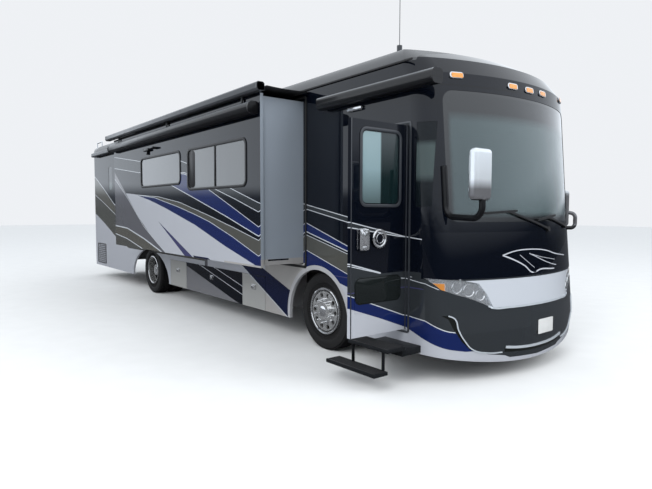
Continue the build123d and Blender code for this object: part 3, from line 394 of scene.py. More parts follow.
sides = (("right", -1), ("left", 1))
for side, sign in sides:
    for node, body, centre_x, places in (
            (f"front_tyre_{side}", f"front_wheel_{side}", front_axle_x, [wheel_y]),
            (f"rear_tyres_{side}", f"rear_wheels_{side}", rear_axle_x, [wheel_y, twin_y])):
        mesh = bmesh.new()
        for place in places:
            ring = turned(tyre_section(), 96, (centre_x, sign * place, axle_z))
            lugs = [face for face in ring.faces
                    if shoulder < abs(face.calc_center_median().y - sign * place) < 0.1215]
            bmesh.ops.inset_individual(ring, faces=lugs, thickness=0.005, depth=-0.006)
            add(mesh, ring)
        tyres = smooth(piece_from(mesh, node + "_tread", tyre_rubber, body), 30)
        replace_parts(tyres, node)


# Wheels are forged aluminium, polished, with ten hand holes. A turned hub cover and ten lug nuts
# with domed caps stand out of each, all chromed.
polished = Finish("polished_aluminium", metallic=0.85)
brush = polished.noise(40.0, 4, 0.6, (1, 8, 1))
along, across, height = polished.axes()
across = abs(across)
ahead = (abs(along - (front_axle_x + rear_axle_x) / 2) - (front_axle_x - rear_axle_x) / 2)
radius = (ahead * ahead + (height - axle_z) * (height - axle_z)).math("SQRT")
# Painted shade: a dark ring on the disc where the hand holes lie, and near-black on everything more than 2 cm
# inboard of the tyre's middle plane, the inner twin wheel included.
hand_hole_shade = (radius > 0.243) * (radius < 0.259)
face_tone = polished.tint(hand_hole_shade, (0.86, 0.86, 0.85), (0.16, 0.16, 0.16))
inboard_shade = across < wheel_y - 0.02
polished.give(**{
    "Base Color": polished.tint(inboard_shade, face_tone, (0.05, 0.05, 0.05)),
    "Roughness": polished.between(brush, 0.10, 0.24),
    "Normal": polished.bump(polished.noise(9.0, 3), 0.35, 0.02),
})
chrome = Finish("chrome", metallic=0.9)
film = chrome.noise(14.0, 4)
chrome.wear_and_light_mix(film, (0.78, 0.79, 0.80), (0.88, 0.88, 0.89), (0.03, 0.12))
dress(polished, "front_wheel_left", "front_wheel_right", "rear_wheels_left", "rear_wheels_right")
lug_circle = 0.1425
lug_count = 10
for side, sign in sides:
    centre = sign * wheel_y
    # Each hub: name, body, axle, where its disc's face is, and how far its cover reaches.
    for name, body, centre_x, face, reach in (
            ("front_hub", "front_wheel", front_axle_x, 0.116, 0.152),
            ("rear_hub", "rear_wheels", rear_axle_x, -0.128, 0.058)):
        face = centre + sign * face
        reach = centre + sign * reach
        mesh = turned(((face, 0.110), (face + sign * 0.012, 0.110), (face + sign * 0.020, 0.098),
                       (reach - sign * 0.030, 0.094), (reach - sign * 0.010, 0.084), (reach, 0.060),
                       (reach + sign * 0.006, 0.020), (reach + sign * 0.007, 0.0)),
                      48, (centre_x, 0, axle_z), closed=False)
        lip = sign * (wheel_y + 0.118)
        add(mesh, turned(((lip, 0.262), (lip + sign * 0.006, 0.268), (lip + sign * 0.008, 0.278),
                          (lip + sign * 0.005, rim_radius), (lip - sign * 0.004, rim_radius)),
                         72, (centre_x, 0, axle_z), closed=False))
        for step in range(lug_count):
            angle = 2 * pi * (step + 0.5) / lug_count
            turn = Matrix.Translation((centre_x + cos(angle) * lug_circle, face + sign * 0.018,
                                       axle_z + sin(angle) * lug_circle)) @ Matrix.Rotation(pi / 2, 4, "X")
            bmesh.ops.create_cone(mesh, cap_ends=True, segments=6, radius1=0.017, radius2=0.017,
                                  depth=0.036, matrix=turn)
            bmesh.ops.create_uvsphere(mesh, u_segments=12, v_segments=8, radius=0.0145,
                                      matrix=Matrix.Translation((0, sign * 0.022, 0)) @ turn)
        smooth(piece_from(mesh, f"{name}_{side}", chrome, f"{body}_{side}"), 30)


# The body's coat: base colours laid in swept bands with light pinstripes between them, under deep
# clear lacquer. Each line is a table of (place ahead of the front axle, height), so that the bands
# run on from the rear wall over the slide-out, the wall, the door and the nose.
black = (0.002, 0.003, 0.006)
charcoal = (0.022, 0.025, 0.028)
taupe = (0.060, 0.060, 0.054)
dark_grey = (0.085, 0.085, 0.095)
grey = (0.16, 0.16, 0.17)
beige = (0.30, 0.29, 0.28)
navy = (0.004, 0.007, 0.028)
blue = (0.006, 0.013, 0.068)
silver = (0.36, 0.37, 0.40)
pin_light = (0.43, 0.45, 0.48)
band_lines = {
    "upper": ((-5.85, 2.75), (-4.50, 2.58), (-2.63, 2.45), (-2.41, 2.40), (-1.03, 1.98), (-0.38, 1.80),
              (0.50, 1.64), (1.41, 1.45), (1.62, 1.43)),
    "second": ((-5.85, 2.53), (-4.52, 2.38), (-2.50, 2.27), (-1.49, 1.99), (-0.91, 1.84), (-0.38, 1.69),
               (-0.30, 1.73), (0.50, 1.58), (1.30, 1.46), (1.62, 1.43)),
    "blue_top": ((-5.90, 2.45), (-4.40, 2.42), (-2.50, 2.25), (-1.72, 2.00), (-1.03, 1.75), (-0.38, 1.51),
                 (-0.30, 1.56), (0.50, 1.31), (0.66, 1.26)),
    "blue_foot": ((-5.90, 2.30), (-4.40, 2.30), (-3.02, 2.10), (-2.16, 1.88), (-1.24, 1.64), (-0.38, 1.40),
                  (-0.30, 1.45), (0.50, 1.25), (0.66, 1.22), (1.07, 1.11)),
    "taupe_top": ((-5.24, 2.03), (-4.70, 1.99), (-3.56, 1.93), (-2.71, 1.83), (-1.68, 1.63),
                  (-0.92, 1.47), (-0.38, 1.35), (-0.30, 1.41), (0.50, 1.22), (0.66, 1.20), (1.07, 1.105)),
    "taupe_foot": ((-5.24, 2.03), (-4.70, 1.99), (-3.77, 1.92), (-2.82, 1.77), (-2.17, 1.65),
                   (-1.69, 1.55), (-1.04, 1.37), (-0.38, 1.16), (-0.30, 1.22), (0.50, 0.99), (0.68, 0.92),
                   (1.40, 0.66), (1.68, 0.637), (1.86, 0.55), (2.10, 0.48)),
    "silver_top": ((-5.24, 2.03), (-4.74, 2.00), (-3.98, 1.88), (-3.31, 1.75), (-2.18, 1.50),
                   (-1.25, 1.24), (-0.40, 1.03), (0.50, 0.84), (0.68, 0.80), (1.05, 0.675), (1.40, 0.545),
                   (1.68, 0.45), (1.94, 0.338)),
    "silver_rear": ((-5.90, 2.45), (-5.24, 2.03), (-4.64, 1.63), (-4.01, 1.30), (-3.67, 1.16),
                    (-3.12, 0.95)),
    "slash": ((-5.87, 2.31), (-5.16, 1.94), (-4.30, 1.42), (-3.67, 1.16), (-3.09, 0.94)),
    "rear_pin": ((-9.67, 2.57), (-8.83, 2.20), (-8.12, 1.86), (-7.00, 1.55), (-5.83, 1.40), (-5.19, 1.37),
                 (-4.31, 1.21), (-3.60, 1.05), (-3.22, 0.95)),
    "rear_second": ((-9.92, 2.17), (-8.86, 1.87), (-8.02, 1.61), (-7.00, 1.38), (-5.89, 1.24),
                    (-5.21, 1.17), (-4.47, 1.04), (-4.10, 0.95)),
    "rear_silver": ((-9.89, 1.68), (-8.89, 1.38), (-8.00, 1.07), (-6.00, 0.60)),
    "wedge_top": ((-3.62, 1.53), (-2.07, 0.95)),
    "wedge_foot": ((-3.62, 1.53), (-2.38, 0.94)),
    "nose_pin": ((1.35, 1.04), (1.67, 1.00), (1.76, 0.963), (1.82, 0.935), (1.90, 0.90)),
}


def line_height(paint, along, rows):
    """The height of a painted line at each place along the side."""
    first, last = rows[0][0], rows[-1][0]
    low = min(height for place, height in rows)
    rise = max(height for place, height in rows) - low
    stops = [((place - first) / (last - first), (height - low) / rise) for place, height in rows]
    return paint.node("ValToRGB", {"stops": stops}, {"Fac": (along - first) / (last - first)}) * rise + low


def side_bands(paint, along, height):
    """The banded colour of the vehicle's side at a place along it and a height."""
    under = {name: line_height(paint, along, rows) - height for name, rows in band_lines.items()}
    ahead = along > -5.90
    arch_reach = ((along + 0.065) * (along + 0.065) + (height - 0.40) * (height - 0.40)).math("SQRT")
    above_wedge = height - 0.79 + 0.346 * (along + 1.014)
    below_wedge = height - 0.533 + 0.48 * (along + 1.196)
    navy_wedge = (above_wedge < 0) * (below_wedge > 0)
    # Each band: where it lies, and its colour over what was laid before.
    color = paint.tint((under["upper"] > 0) * ahead, black, charcoal)
    for mask, band in (
            ((under["second"] > 0) * ahead, black),
            ((under["blue_top"] > 0) * (along > -3.2) * (along < 0.66), blue),
            ((under["blue_foot"] > 0) * ahead, black),
            ((under["taupe_top"] > 0) * (along > -5.24), taupe),
            ((under["taupe_top"] > 0) * (along > 0.66), charcoal),
            ((under["taupe_foot"] > 0) * (along > -5.24), blue),
            ((under["silver_top"] > 0) * (along > -5.24), silver),
            ((under["wedge_top"] > 0) * (under["wedge_foot"] < 0) * (along > -3.62), (0.04, 0.04, 0.10)),
            ((under["silver_rear"] > 0) * ahead * (along < -3.12), grey),
            ((under["slash"] > 0) * ahead * (along < -3.09), dark_grey),
            ((under["rear_pin"] > 0) * (along < -3.22), (0.075, 0.072, 0.062)),
            ((under["rear_second"] > 0) * (along < -4.10), taupe),
            ((under["rear_silver"] > 0) * (along < -5.90), silver),
            ((under["silver_rear"] > 0) * (under["rear_second"] > 0) * (height < 0.86) * (along < -3.2),
             silver),
            ((height < 1.046) * (along > -1.27) * (along < -0.30), beige),
            (navy_wedge * (along < -0.40) * (height < 1.046), navy),
            ((arch_reach < 0.64) * (height < 1.06), (0.34, 0.34, 0.35))):
        color = paint.tint(mask, color, band)
    # Each pinstripe: its line, half its width, and where it starts and ends.
    for name, half_width, start, end in (
            ("upper", 0.0045, -5.9, 1.62), ("second", 0.0045, -5.9, 1.62), ("blue_top", 0.0045, -3.0, 0.66),
            ("blue_foot", 0.006, -3.2, 1.07), ("taupe_top", 0.004, -4.7, 1.07),
            ("taupe_foot", 0.0045, -4.7, 2.10), ("slash", 0.005, -5.9, -3.1), ("nose_pin", 0.0035, 1.35, 1.9),
            ("rear_pin", 0.011, -9.9, -3.22), ("rear_second", 0.008, -9.9, -4.1)):
        stripe = (abs(under[name]) < half_width) * (along > start) * (along < end)
        color = paint.tint(stripe, color, pin_light)
    edge = (abs(below_wedge) < 0.007) * (along > -1.92) * (along < -0.55) * (height < 1.046)
    return paint.tint(edge, color, pin_light)


def lacquer(name, color=black):
    """Paint under clear lacquer, faintly uneven as sprayed panels are."""
    paint = Finish(name, color, specular_ior_level=0.0, coat_weight=1.0, coat_roughness=0.02,
                   coat_ior=1.5)
    sprayed = paint.noise(1.6, 3)
    paint.give(**{
        "Roughness": paint.between(sprayed, 0.30, 0.42),
        "Normal": paint.bump(paint.noise(0.8, 2), 0.04, 0.02),
    })
    return paint


slide_low, slide_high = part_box("slide_right")
slide_end = slide_high[0] - 0.028
wall_paint = lacquer("wall_paint")
along, across, height = wall_paint.axes()
wall_paint.give(**{"Base Color": side_bands(wall_paint, along - front_axle_x, height)})
dress(wall_paint, "side_wall_right", "side_wall_left")

slide_paint = lacquer("slide_paint")
along, across, height = slide_paint.axes()
color = side_bands(slide_paint, along - front_axle_x, height)
end_silver = slide_paint.between(slide_paint.noise(0.7, 2), 0.0, 1.0)
end_silver = slide_paint.tint(end_silver, (0.23, 0.26, 0.295), (0.26, 0.29, 0.33))
# A black strip 1.10 to 1.12 m high across the right slide-out's end: a painted shadow under the slide-out's
# foot.
painted_shadow_slot = (height < 1.118) * (height > 1.098) * (across < -1.50) * (across > -1.80)
end_silver = slide_paint.tint(height < 1.12, end_silver, beige)
end_silver = slide_paint.tint(painted_shadow_slot, end_silver, black)
within = abs(across) < 1.908
ends = (along > slide_end).most(along < slide_low[0] + 0.028) * within
lips = (along > slide_high[0] - 0.002).most(along < slide_low[0] + 0.002)
color = slide_paint.tint(ends.most(lips), color, end_silver)
slide_paint.give(**{"Base Color": color})
dress(slide_paint, "slide_right", "slide_left")

half_width = 1.2825
hinge_ahead = 1.428
door_paint = lacquer("door_paint")
along, across, height = door_paint.axes()
from_axle = across + half_width + hinge_ahead
door_paint.give(**{"Base Color": side_bands(door_paint, from_axle, height)})
door_paint.give(**{"Coat Weight": door_paint.between(across < -2.0265, 1.0, 0.15)})
dress(door_paint, "entry_door")

luggage_paint = lacquer("luggage_door_paint", silver)
along, across, height = luggage_paint.axes()
ahead = along - front_axle_x
middle_door = (ahead > -3.95) * (ahead < -1.92)
dark_band = (height > 0.72 - 0.22 * (ahead + 3.94)) * middle_door
color = luggage_paint.tint(middle_door, (0.30, 0.30, 0.29), (0.15, 0.15, 0.16))
color = luggage_paint.tint(dark_band, color, black)
for start in (-3.35, -2.79):
    stripe = abs(height - 0.77 + 0.225 * (ahead - start)) < 0.005
    color = luggage_paint.tint(stripe * dark_band, color, pin_light)
lower_edge = height - 0.533 + 0.48 * (ahead + 1.196)
upper_edge = height - 0.79 + 0.346 * (ahead + 1.014)
color = luggage_paint.tint((lower_edge > 0) * (upper_edge < 0) * (ahead > -1.92), color, navy)
color = luggage_paint.tint((abs(lower_edge) < 0.007) * (ahead > -1.92), color, pin_light)
luggage_paint.give(**{"Base Color": color})
dress(luggage_paint, *[name for name in nodes if name.startswith("bay_door_")])


# The moulded nose: gloss black over a charcoal bumper, with a silver panel between the lamps. The
# side's blue and silver sweep in as far as the fins, and a silver lip runs round the foot.
nose_paint = lacquer("nose_paint")
along, across, height = nose_paint.axes()
ahead = along - front_axle_x
off_centre = abs(across)
side_color = side_bands(nose_paint, ahead, height)
# Each row: height and distance from the middle, or distance and height.
fin_line = ((0.17, 0.30), (0.256, 0.513), (0.292, 0.729), (0.353, 0.912), (0.444, 0.998), (0.553, 1.066),
            (0.666, 1.101), (0.708, 1.159), (0.95, 1.28))
panel_foot = ((0.0, 0.742), (0.69, 0.757), (0.803, 0.803), (0.946, 0.861), (1.07, 0.897), (1.199, 0.95),
              (1.28, 1.056))
chin_line = ((0.0, 0.205), (0.6, 0.235), (1.0, 0.285), (1.2, 0.36), (1.2825, 0.42))
fin_reach = line_height(nose_paint, height, fin_line)
foot = line_height(nose_paint, off_centre, panel_foot)
chin = line_height(nose_paint, off_centre, chin_line)
color = nose_paint.tint((height < 0.95) * (ahead > 1.5), side_color, charcoal)
beside_fin = (off_centre > fin_reach) * (height < 0.95)
color = nose_paint.tint(beside_fin, color, side_color)
fin_width = 0.02 + 0.10 * (height - 0.32)
fin_body = (off_centre > fin_reach) * (off_centre < fin_reach + fin_width) * (height < 0.70) * (height > 0.32)
color = nose_paint.tint(fin_body * (ahead > 1.5), color, (0.006, 0.007, 0.006))
# The silver panel between the lamps is a lighter copy of the side's silver, for the stronger light on the
# front: painted light.
color = nose_paint.tint((height > foot) * (height < 1.03) * (ahead > 1.55), color, (0.42, 0.44, 0.475))
color = nose_paint.tint((height < chin) * (ahead > 1.5), color, silver)
color = nose_paint.tint((height > 1.045) * (ahead > 1.62), color, black)
color = nose_paint.tint((abs(height - 2.93) < 0.004) * (ahead > 1.58), color, (0.001, 0.001, 0.001))
slot_foot = 0.281 + 0.10 * off_centre * off_centre
vent = (height > slot_foot - 0.015) * (height < slot_foot + 0.035) * (off_centre < 0.53) * (ahead > 1.8)
color = nose_paint.tint(vent, color, (0.006, 0.007, 0.006))
nose_paint.give(**{"Base Color": color})
dress(nose_paint, "front_cap", "bumper")


# The rear cap carries the side's lower silver round its corners under a black upper half. The
# roof is one sheet of gel-coated fibreglass, matt with weather.
rear_paint = lacquer("rear_paint")
along, across, height = rear_paint.axes()
ahead = along - front_axle_x
color = side_bands(rear_paint, ahead, height)
middle = (along < -5.80) * (abs(across) < 1.22)
swell = 1.02 + 0.30 * across * across
plain = rear_paint.tint(height < swell, black, silver)
plain = rear_paint.tint(abs(height - swell) < 0.008, plain, pin_light)
rear_paint.wear_and_light_mix(middle, color, plain)
dress(rear_paint, "rear_cap", "engine_door")
roof_skin = Finish("roof_gel_coat", coat_weight=0.4, coat_roughness=0.25)
weather = roof_skin.noise(2.2, 6, 0.6)
roof_skin.wear_and_light_mix(weather, (0.035, 0.037, 0.040), (0.075, 0.077, 0.080), (0.35, 0.6), (weather, 0.08, 0.01))
dress(roof_skin, "roof")


# Body glass is bonded and tinted grey-green. The windshield has a dark printed band round its
# edge that fades into the clear.
def glass(name, color, solid):
    """Tinted safety glass; solid is how much of it hides what is behind."""
    return Finish(name, color, roughness=0.02, alpha=solid, coat_weight=1.0, coat_ior=1.6,
                  coat_roughness=0.01)


tinted = glass("tinted_glass", (0.06, 0.065, 0.06), 0.95)
tinted.give(**{"Coat IOR": 1.3, "Specular IOR Level": 0.1})
height = tinted.axes()[2]
# A lighter band from about 2.06 to 2.34 m high on dark glass: a painted reflection.
painted_reflection = tinted.between(height, 0.0, 1.0, 1.98, 2.06) * tinted.between(height, 1.0, 0.0, 2.34, 2.40)
tinted.wear_and_light_mix(painted_reflection, (0.004, 0.006, 0.008), (0.050, 0.068, 0.068))
dress(tinted, "side_windows")
mirrored_glass = Finish("mirrored_glass", metallic=0.30, roughness=0.03, coat_weight=1.0, coat_ior=1.6)
# Tone that varies in soft upright streaks: a painted reflection.
painted_reflection = mirrored_glass.noise(0.9, 2, 0.4, (1, 1, 0.6))
mirrored_glass.wear_and_light_mix(painted_reflection, (0.03, 0.033, 0.036), (0.075, 0.078, 0.078),
                    bumps=(mirrored_glass.noise(0.7, 1), 0.03, 0.02))
dress(mirrored_glass, "slide_glass_right", "slide_glass_left")
shield = glass("windshield_glass", (0.10, 0.13, 0.125), 0.55)
along, across, height = shield.axes()
inside = shield.between(abs(across), 1.0, 0.0, 1.03, 1.07) * shield.between(height, 0.0, 1.0, 1.64, 1.70)
inside = inside * shield.between(height, 1.0, 0.0, 2.58, 2.68)
# Inside the printed band the glass grows lighter towards the left side: a painted reflection.
painted_reflection_across = shield.tint(shield.between(across, 0.0, 1.0, -0.9, 1.0), (0.050, 0.073, 0.078), (0.118, 0.160, 0.166))
shield.give(**{
    "Base Color": shield.tint(inside, (0.006, 0.007, 0.008), painted_reflection_across),
    "Alpha": shield.between(inside, 1.0, 0.78),
})
dress(shield, "windshield")
door_pane = glass("door_glass", (0.10, 0.15, 0.145), 0.92)
along, across, height = door_pane.axes()
blind = door_pane.between(across, 0.0, 1.0, -half_width - 0.375, -half_width - 0.355)
blind = blind * (height > 1.0)
# Lighter towards the top of the window: a painted sky reflection.
painted_sky_reflection = door_pane.tint(door_pane.between(height, 0.0, 1.0, 1.80, 2.10), (0.08, 0.115, 0.12), (0.21, 0.30, 0.32))
door_pane.wear_and_light_mix(blind, painted_sky_reflection, (0.004, 0.012, 0.013))
dress(door_pane, "entry_door_glass")


# Slide windows sit in black anodised frames with round corners. The front pane on each side is a
# slider, with a bar between its panes and a dark screen behind the rear part.
def rounded_face(width, height, corner):
    """A flat rounded rectangle in the XZ plane about the origin, facing -Y."""
    mesh = bmesh.new()
    made = bmesh.ops.create_grid(mesh, x_segments=1, y_segments=1, size=0.5)
    bmesh.ops.scale(mesh, vec=(width, height, 1), verts=made["verts"])
    bmesh.ops.rotate(mesh, cent=(0, 0, 0), matrix=Matrix.Rotation(radians(90), 3, "X"),
                     verts=mesh.verts)
    bmesh.ops.bevel(mesh, geom=mesh.verts[:], offset=corner, segments=6, profile=0.5, affect="VERTICES",
                    material=-1)
    return mesh


def thicken(mesh, depth, edge):
    """Gives a flat mesh in the XZ plane a depth towards -Y and rounded edges."""
    made = bmesh.ops.extrude_face_region(mesh, geom=mesh.faces[:])
    raised = [item for item in made["geom"] if isinstance(item, bmesh.types.BMVert)]
    bmesh.ops.translate(mesh, vec=(0, -depth, 0), verts=raised)
    bmesh.ops.recalc_face_normals(mesh, faces=mesh.faces)
    sharp = [joint for joint in mesh.edges if joint.is_manifold and joint.calc_face_angle() > 1.0]
    bmesh.ops.bevel(mesh, geom=sharp, offset=edge, segments=2, profile=0.5, affect="EDGES", material=-1)
    return mesh


def slab(width, height, corner, depth, edge=0.002):
    """A rounded plate from y = 0 out to y = -depth."""
    return thicken(rounded_face(width, height, corner), depth, edge)


def rim(width, height, corner, band, depth, edge=0.002):
    """A rounded rectangular frame from y = 0 out to y = -depth."""
    mesh = rounded_face(width, height, corner)
    inner = mesh.faces[:]
    bmesh.ops.inset_region(mesh, faces=inner, thickness=band, use_boundary=True, use_even_offset=True)
    bmesh.ops.delete(mesh, geom=inner, context="FACES")
    return thicken(mesh, depth, edge)


def at_side(x, y, z, sign=-1):
    """Where a part made facing -Y goes on the right side, or turned round on the left."""
    return Matrix.Translation((x, y, z)) @ Matrix.Rotation(0 if sign < 0 else pi, 4, "Z")


anodised = Finish("black_anodised", (0.012, 0.012, 0.013), metallic=0.4)
rub = anodised.noise(30.0, 3)
anodised.wear_and_light_mix(rub, (0.010, 0.010, 0.011), (0.035, 0.035, 0.036), (0.25, 0.45))
pane_rows = ((-4.38, -2.68, 2.12, 2.60), (-2.39, -0.68, 2.02, 2.59))
frame_band = 0.035
frame_lap = 0.022
slide_face = 1.9145
slider_middle = 2.305
bar_ahead = -1.515
screen_ahead = -2.26
for side, sign in sides:
    parts = [(rim(front - rear + 2 * frame_lap, high - low + 2 * frame_lap, 0.10, frame_band, 0.010),
              at_side(front_axle_x + (rear + front) / 2, sign * slide_face, (low + high) / 2, sign))
             for rear, front, low, high in pane_rows]
    parts.append((slab(0.028, 0.565, 0.006, 0.008),
                  at_side(front_axle_x + bar_ahead, sign * (slide_face - 0.001), slider_middle, sign)))
    screen_place = at_side(front_axle_x + screen_ahead, sign * (slide_face - 0.002), slider_middle, sign)
    fitted(f"slide_window_frames_{side}", anodised, parts, f"slide_{side}")
    fitted(f"slide_screen_{side}", anodised,
           [(slab(0.20, 0.53, 0.06, 0.0015, 0.0005), screen_place)], f"slide_{side}")


# Bulb seals of black rubber run round each slide-out where it meets the wall, and a gutter rail
# runs along each roof edge.
seal_rubber = Finish("seal_rubber", (0.012, 0.012, 0.012))
bloom = seal_rubber.noise(12.0, 5)
seal_rubber.wear_and_light_mix(bloom, (0.008, 0.008, 0.008), (0.03, 0.03, 0.03), (0.45, 0.7))
for side, sign in sides:
    low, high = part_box(f"slide_{side}")
    wall_y = sign * (half_width + 0.0005)
    fitted(f"slide_seal_{side}", seal_rubber,
           [(rim(high[0] - low[0] + 0.115, high[2] - low[2] + 0.075, 0.03, 0.030, 0.012, 0.004),
             at_side((low[0] + high[0]) / 2, wall_y, (low[2] + high[2]) / 2, sign))])
    fitted(f"gutter_rail_{side}", anodised,
           [(slab(11.0, 0.020, 0.004, 0.014, 0.003), at_side(-0.19, wall_y, 3.190, sign))])


# Roller cases, awning cases and the antenna are dark extrusions and mouldings, painted lighter grey on their
# upward faces: painted skylight. A groove runs along each case.
moulding = Finish("black_moulding", specular_ior_level=0.2, coat_weight=0.5, coat_roughness=0.12)
facing_up = moulding.node("NewGeometry", output="Normal")
facing_up = moulding.node("SeparateXYZ", sockets={"Vector": facing_up}, output="Z")
# Upward faces turn lighter grey: painted skylight.
painted_top_light = moulding.between(facing_up, 0.0, 1.0, 0.15, 0.75) * moulding.between(moulding.noise(3.0, 5), 0.7, 1.0)
height = moulding.axes()[2]
groove = (abs(height - 2.932) < 0.004).most(abs(height - 2.985) < 0.0035)
case_tone = moulding.tint(height > 3.05, (0.006, 0.006, 0.007), (0.042, 0.045, 0.050))
color = moulding.tint(painted_top_light, case_tone, (0.105, 0.112, 0.122))
moulding.give(**{
    "Base Color": moulding.tint(groove, color, (0.002, 0.002, 0.002)),
    "Roughness": moulding.between(moulding.noise(6.0, 4), 0.28, 0.45),
    "Normal": moulding.bump(moulding.noise(220.0, 2), 0.10, 0.0006),
})
dress(moulding, "awnings", "antenna")


def case(rows, start, end, sign):
    """A case along X with (out, height) rows round its section and an end cap at each end."""
    mesh = bmesh.new()
    middle = Vector((0, sum(out for out, height in rows), sum(height for out, height in rows))) / len(rows)
    for x, length, size in ((start, end - start, 0.97), (start, 0.028, 1.0), (end - 0.028, 0.028, 1.0)):
        part = bmesh.new()
        spots = [part.verts.new((x, sign * (middle.y + (out - middle.y) * size),
                                 middle.z + (height - middle.z) * size)) for out, height in rows]
        part.faces.new(spots)
        made = bmesh.ops.extrude_face_region(part, geom=part.faces[:])
        moved = [item for item in made["geom"] if isinstance(item, bmesh.types.BMVert)]
        bmesh.ops.translate(part, vec=(length, 0, 0), verts=moved)
        bmesh.ops.recalc_face_normals(part, faces=part.faces)
        bmesh.ops.bevel(part, geom=part.edges[:], offset=0.003, segments=2, profile=0.5, affect="EDGES",
                        material=-1)
        add(mesh, part)
    return mesh


# Over each slide-out lies the topper's roller in a slim case, and under that the patio awning's
# deeper case, both extruded and capped.
topper_section = ((1.9165, 3.090), (1.9165, 3.168), (1.936, 3.187), (2.006, 3.187), (2.0235, 3.168),
                  (2.0235, 3.108), (2.004, 3.086), (1.944, 3.086))
awning_section = ((1.916, 2.850), (1.916, 2.975), (1.945, 2.989), (2.020, 2.985), (2.052, 2.962),
                  (2.0635, 2.920), (2.054, 2.862), (2.012, 2.836), (1.950, 2.832))
for side, sign in sides:
    mesh = case(topper_section, -2.285, 3.600, sign)
    add(mesh, case(awning_section, -2.035, 3.460, sign))
    for x in (-1.70, 0.70, 3.10):
        arm = slab(0.030, 0.110, 0.004, 0.02, 0.004)
        add(mesh, arm, at_side(x, sign * 1.9250, 3.040, sign))
    cases = smooth(piece_from(mesh, f"roller_cases_{side}", moulding, f"slide_{side}"), 30)
    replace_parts(cases, f"slide_rollers_{side}")
fitted("door_awning_trim", moulding,
       [(slab(1.70, 0.020, 0.004, 0.006), at_side(4.815, -half_width - 0.1495, 2.925))])

# A small flood lamp hangs on a bracket under the awning, on the slide-out's face.
lamp_y = -slide_face - 0.0003
fitted("flood_lamp", moulding, (
    (slab(0.24, 0.045, 0.01, 0.05, 0.006), at_side(front_axle_x - 4.02, lamp_y, 2.735)),
    (slab(0.035, 0.09, 0.005, 0.03, 0.004), at_side(front_axle_x - 4.02, lamp_y, 2.70)),
    (slab(0.16, 0.028, 0.01, 0.07, 0.006), at_side(front_axle_x - 3.70, lamp_y, 2.745)),
), "slide_right")


# Topper sheets: coated black cloth drawn from the wall to the roller over each slide-out.
cloth = Finish("coated_cloth", roughness=0.8)
cloth.wear_and_light_mix(cloth.noise(5.0, 5), (0.02, 0.02, 0.022), (0.045, 0.045, 0.048),
           bumps=(cloth.waves(160.0, "X"), 0.2, 0.0005))
for side, sign in sides:
    low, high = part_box(f"topper_{side}")
    inner = min(abs(low[1]), abs(high[1]))
    outer = max(abs(low[1]), abs(high[1]))
    inner_z = high[2] - 0.004
    outer_z = low[2] + 0.022
    mesh = bmesh.new()
    bmesh.ops.create_grid(mesh, x_segments=60, y_segments=12, size=0.5)
    for spot in mesh.verts:
        share = spot.co.y + 0.5
        sag = 4 * share * (1 - share) * 0.012 * (1 + 0.3 * sin(spot.co.x * 37))
        spot.co = Vector(((low[0] + high[0]) / 2 + spot.co.x * (high[0] - low[0]),
                          sign * (inner + share * (outer - inner)),
                          inner_z + share * (outer_z - inner_z) - sag))
    sheet = smooth(piece_from(mesh, f"topper_cloth_{side}", cloth), 80)
    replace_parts(sheet, f"topper_{side}")
    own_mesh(sheet)


# Luggage door latches: chromed paddles over the moulded latch bodies, one on each door.
for side, sign in sides:
    for label in ("rear", "middle", "front"):
        name = f"bay_door_{label}_{side}"
        low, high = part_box(name)
        middle = (low[0] + high[0]) / 2
        wall_y = sign * (half_width + 0.0003)
        paddle_y = sign * (half_width + 0.0122)
        fitted(f"luggage_latch_{label}_{side}", chrome, (
            (rim(0.135, 0.075, 0.015, 0.012, 0.004), at_side(middle, wall_y, 0.605, sign)),
            (slab(0.085, 0.040, 0.010, 0.008, 0.003), at_side(middle, paddle_y, 0.603, sign)),
        ), name)


# The entry door's fittings: a grey-edged window frame, a chromed paddle handle in its plate, a
# ring round the lock, and a gloss panel with round corners over the kick area.
def on_door(out, z, lift=0.0):
    """Where a part made facing -Y goes on the open door's outer face, so far out from the hinge."""
    return (Matrix.Translation((front_axle_x + hinge_ahead + lift, -half_width - out, z))
            @ Matrix.Rotation(pi / 2, 4, "Z"))


frame_paint = Finish("window_frame_paint", roughness=0.35, coat_weight=0.6)
frame_paint.wear_and_light_mix(frame_paint.noise(7.0, 4), (0.020, 0.023, 0.028), (0.035, 0.038, 0.044))
fitted("door_window_frame", frame_paint,
       [(rim(0.545, 0.745, 0.080, 0.030, 0.009), on_door(0.365, 2.115))], "entry_door")
gloss_panel = lacquer("gloss_panel", (0.008, 0.010, 0.010))
panel_place = on_door(0.39, 0.955, 0.0031)
fitted("door_kick_panel", gloss_panel, (
    (slab(0.595, 0.245, 0.06, 0.004), panel_place),
    (rim(0.605, 0.255, 0.065, 0.012, 0.004), panel_place),
), "entry_door")


def lock_ring(radius, half_across, thick, points, steps):
    """A ring of oval section turned about the lock."""
    turns = [2 * pi * step / points for step in range(points)]
    return turned([(half_across * sin(turn), radius + thick * cos(turn)) for turn in turns], steps, (0, 0, 0))


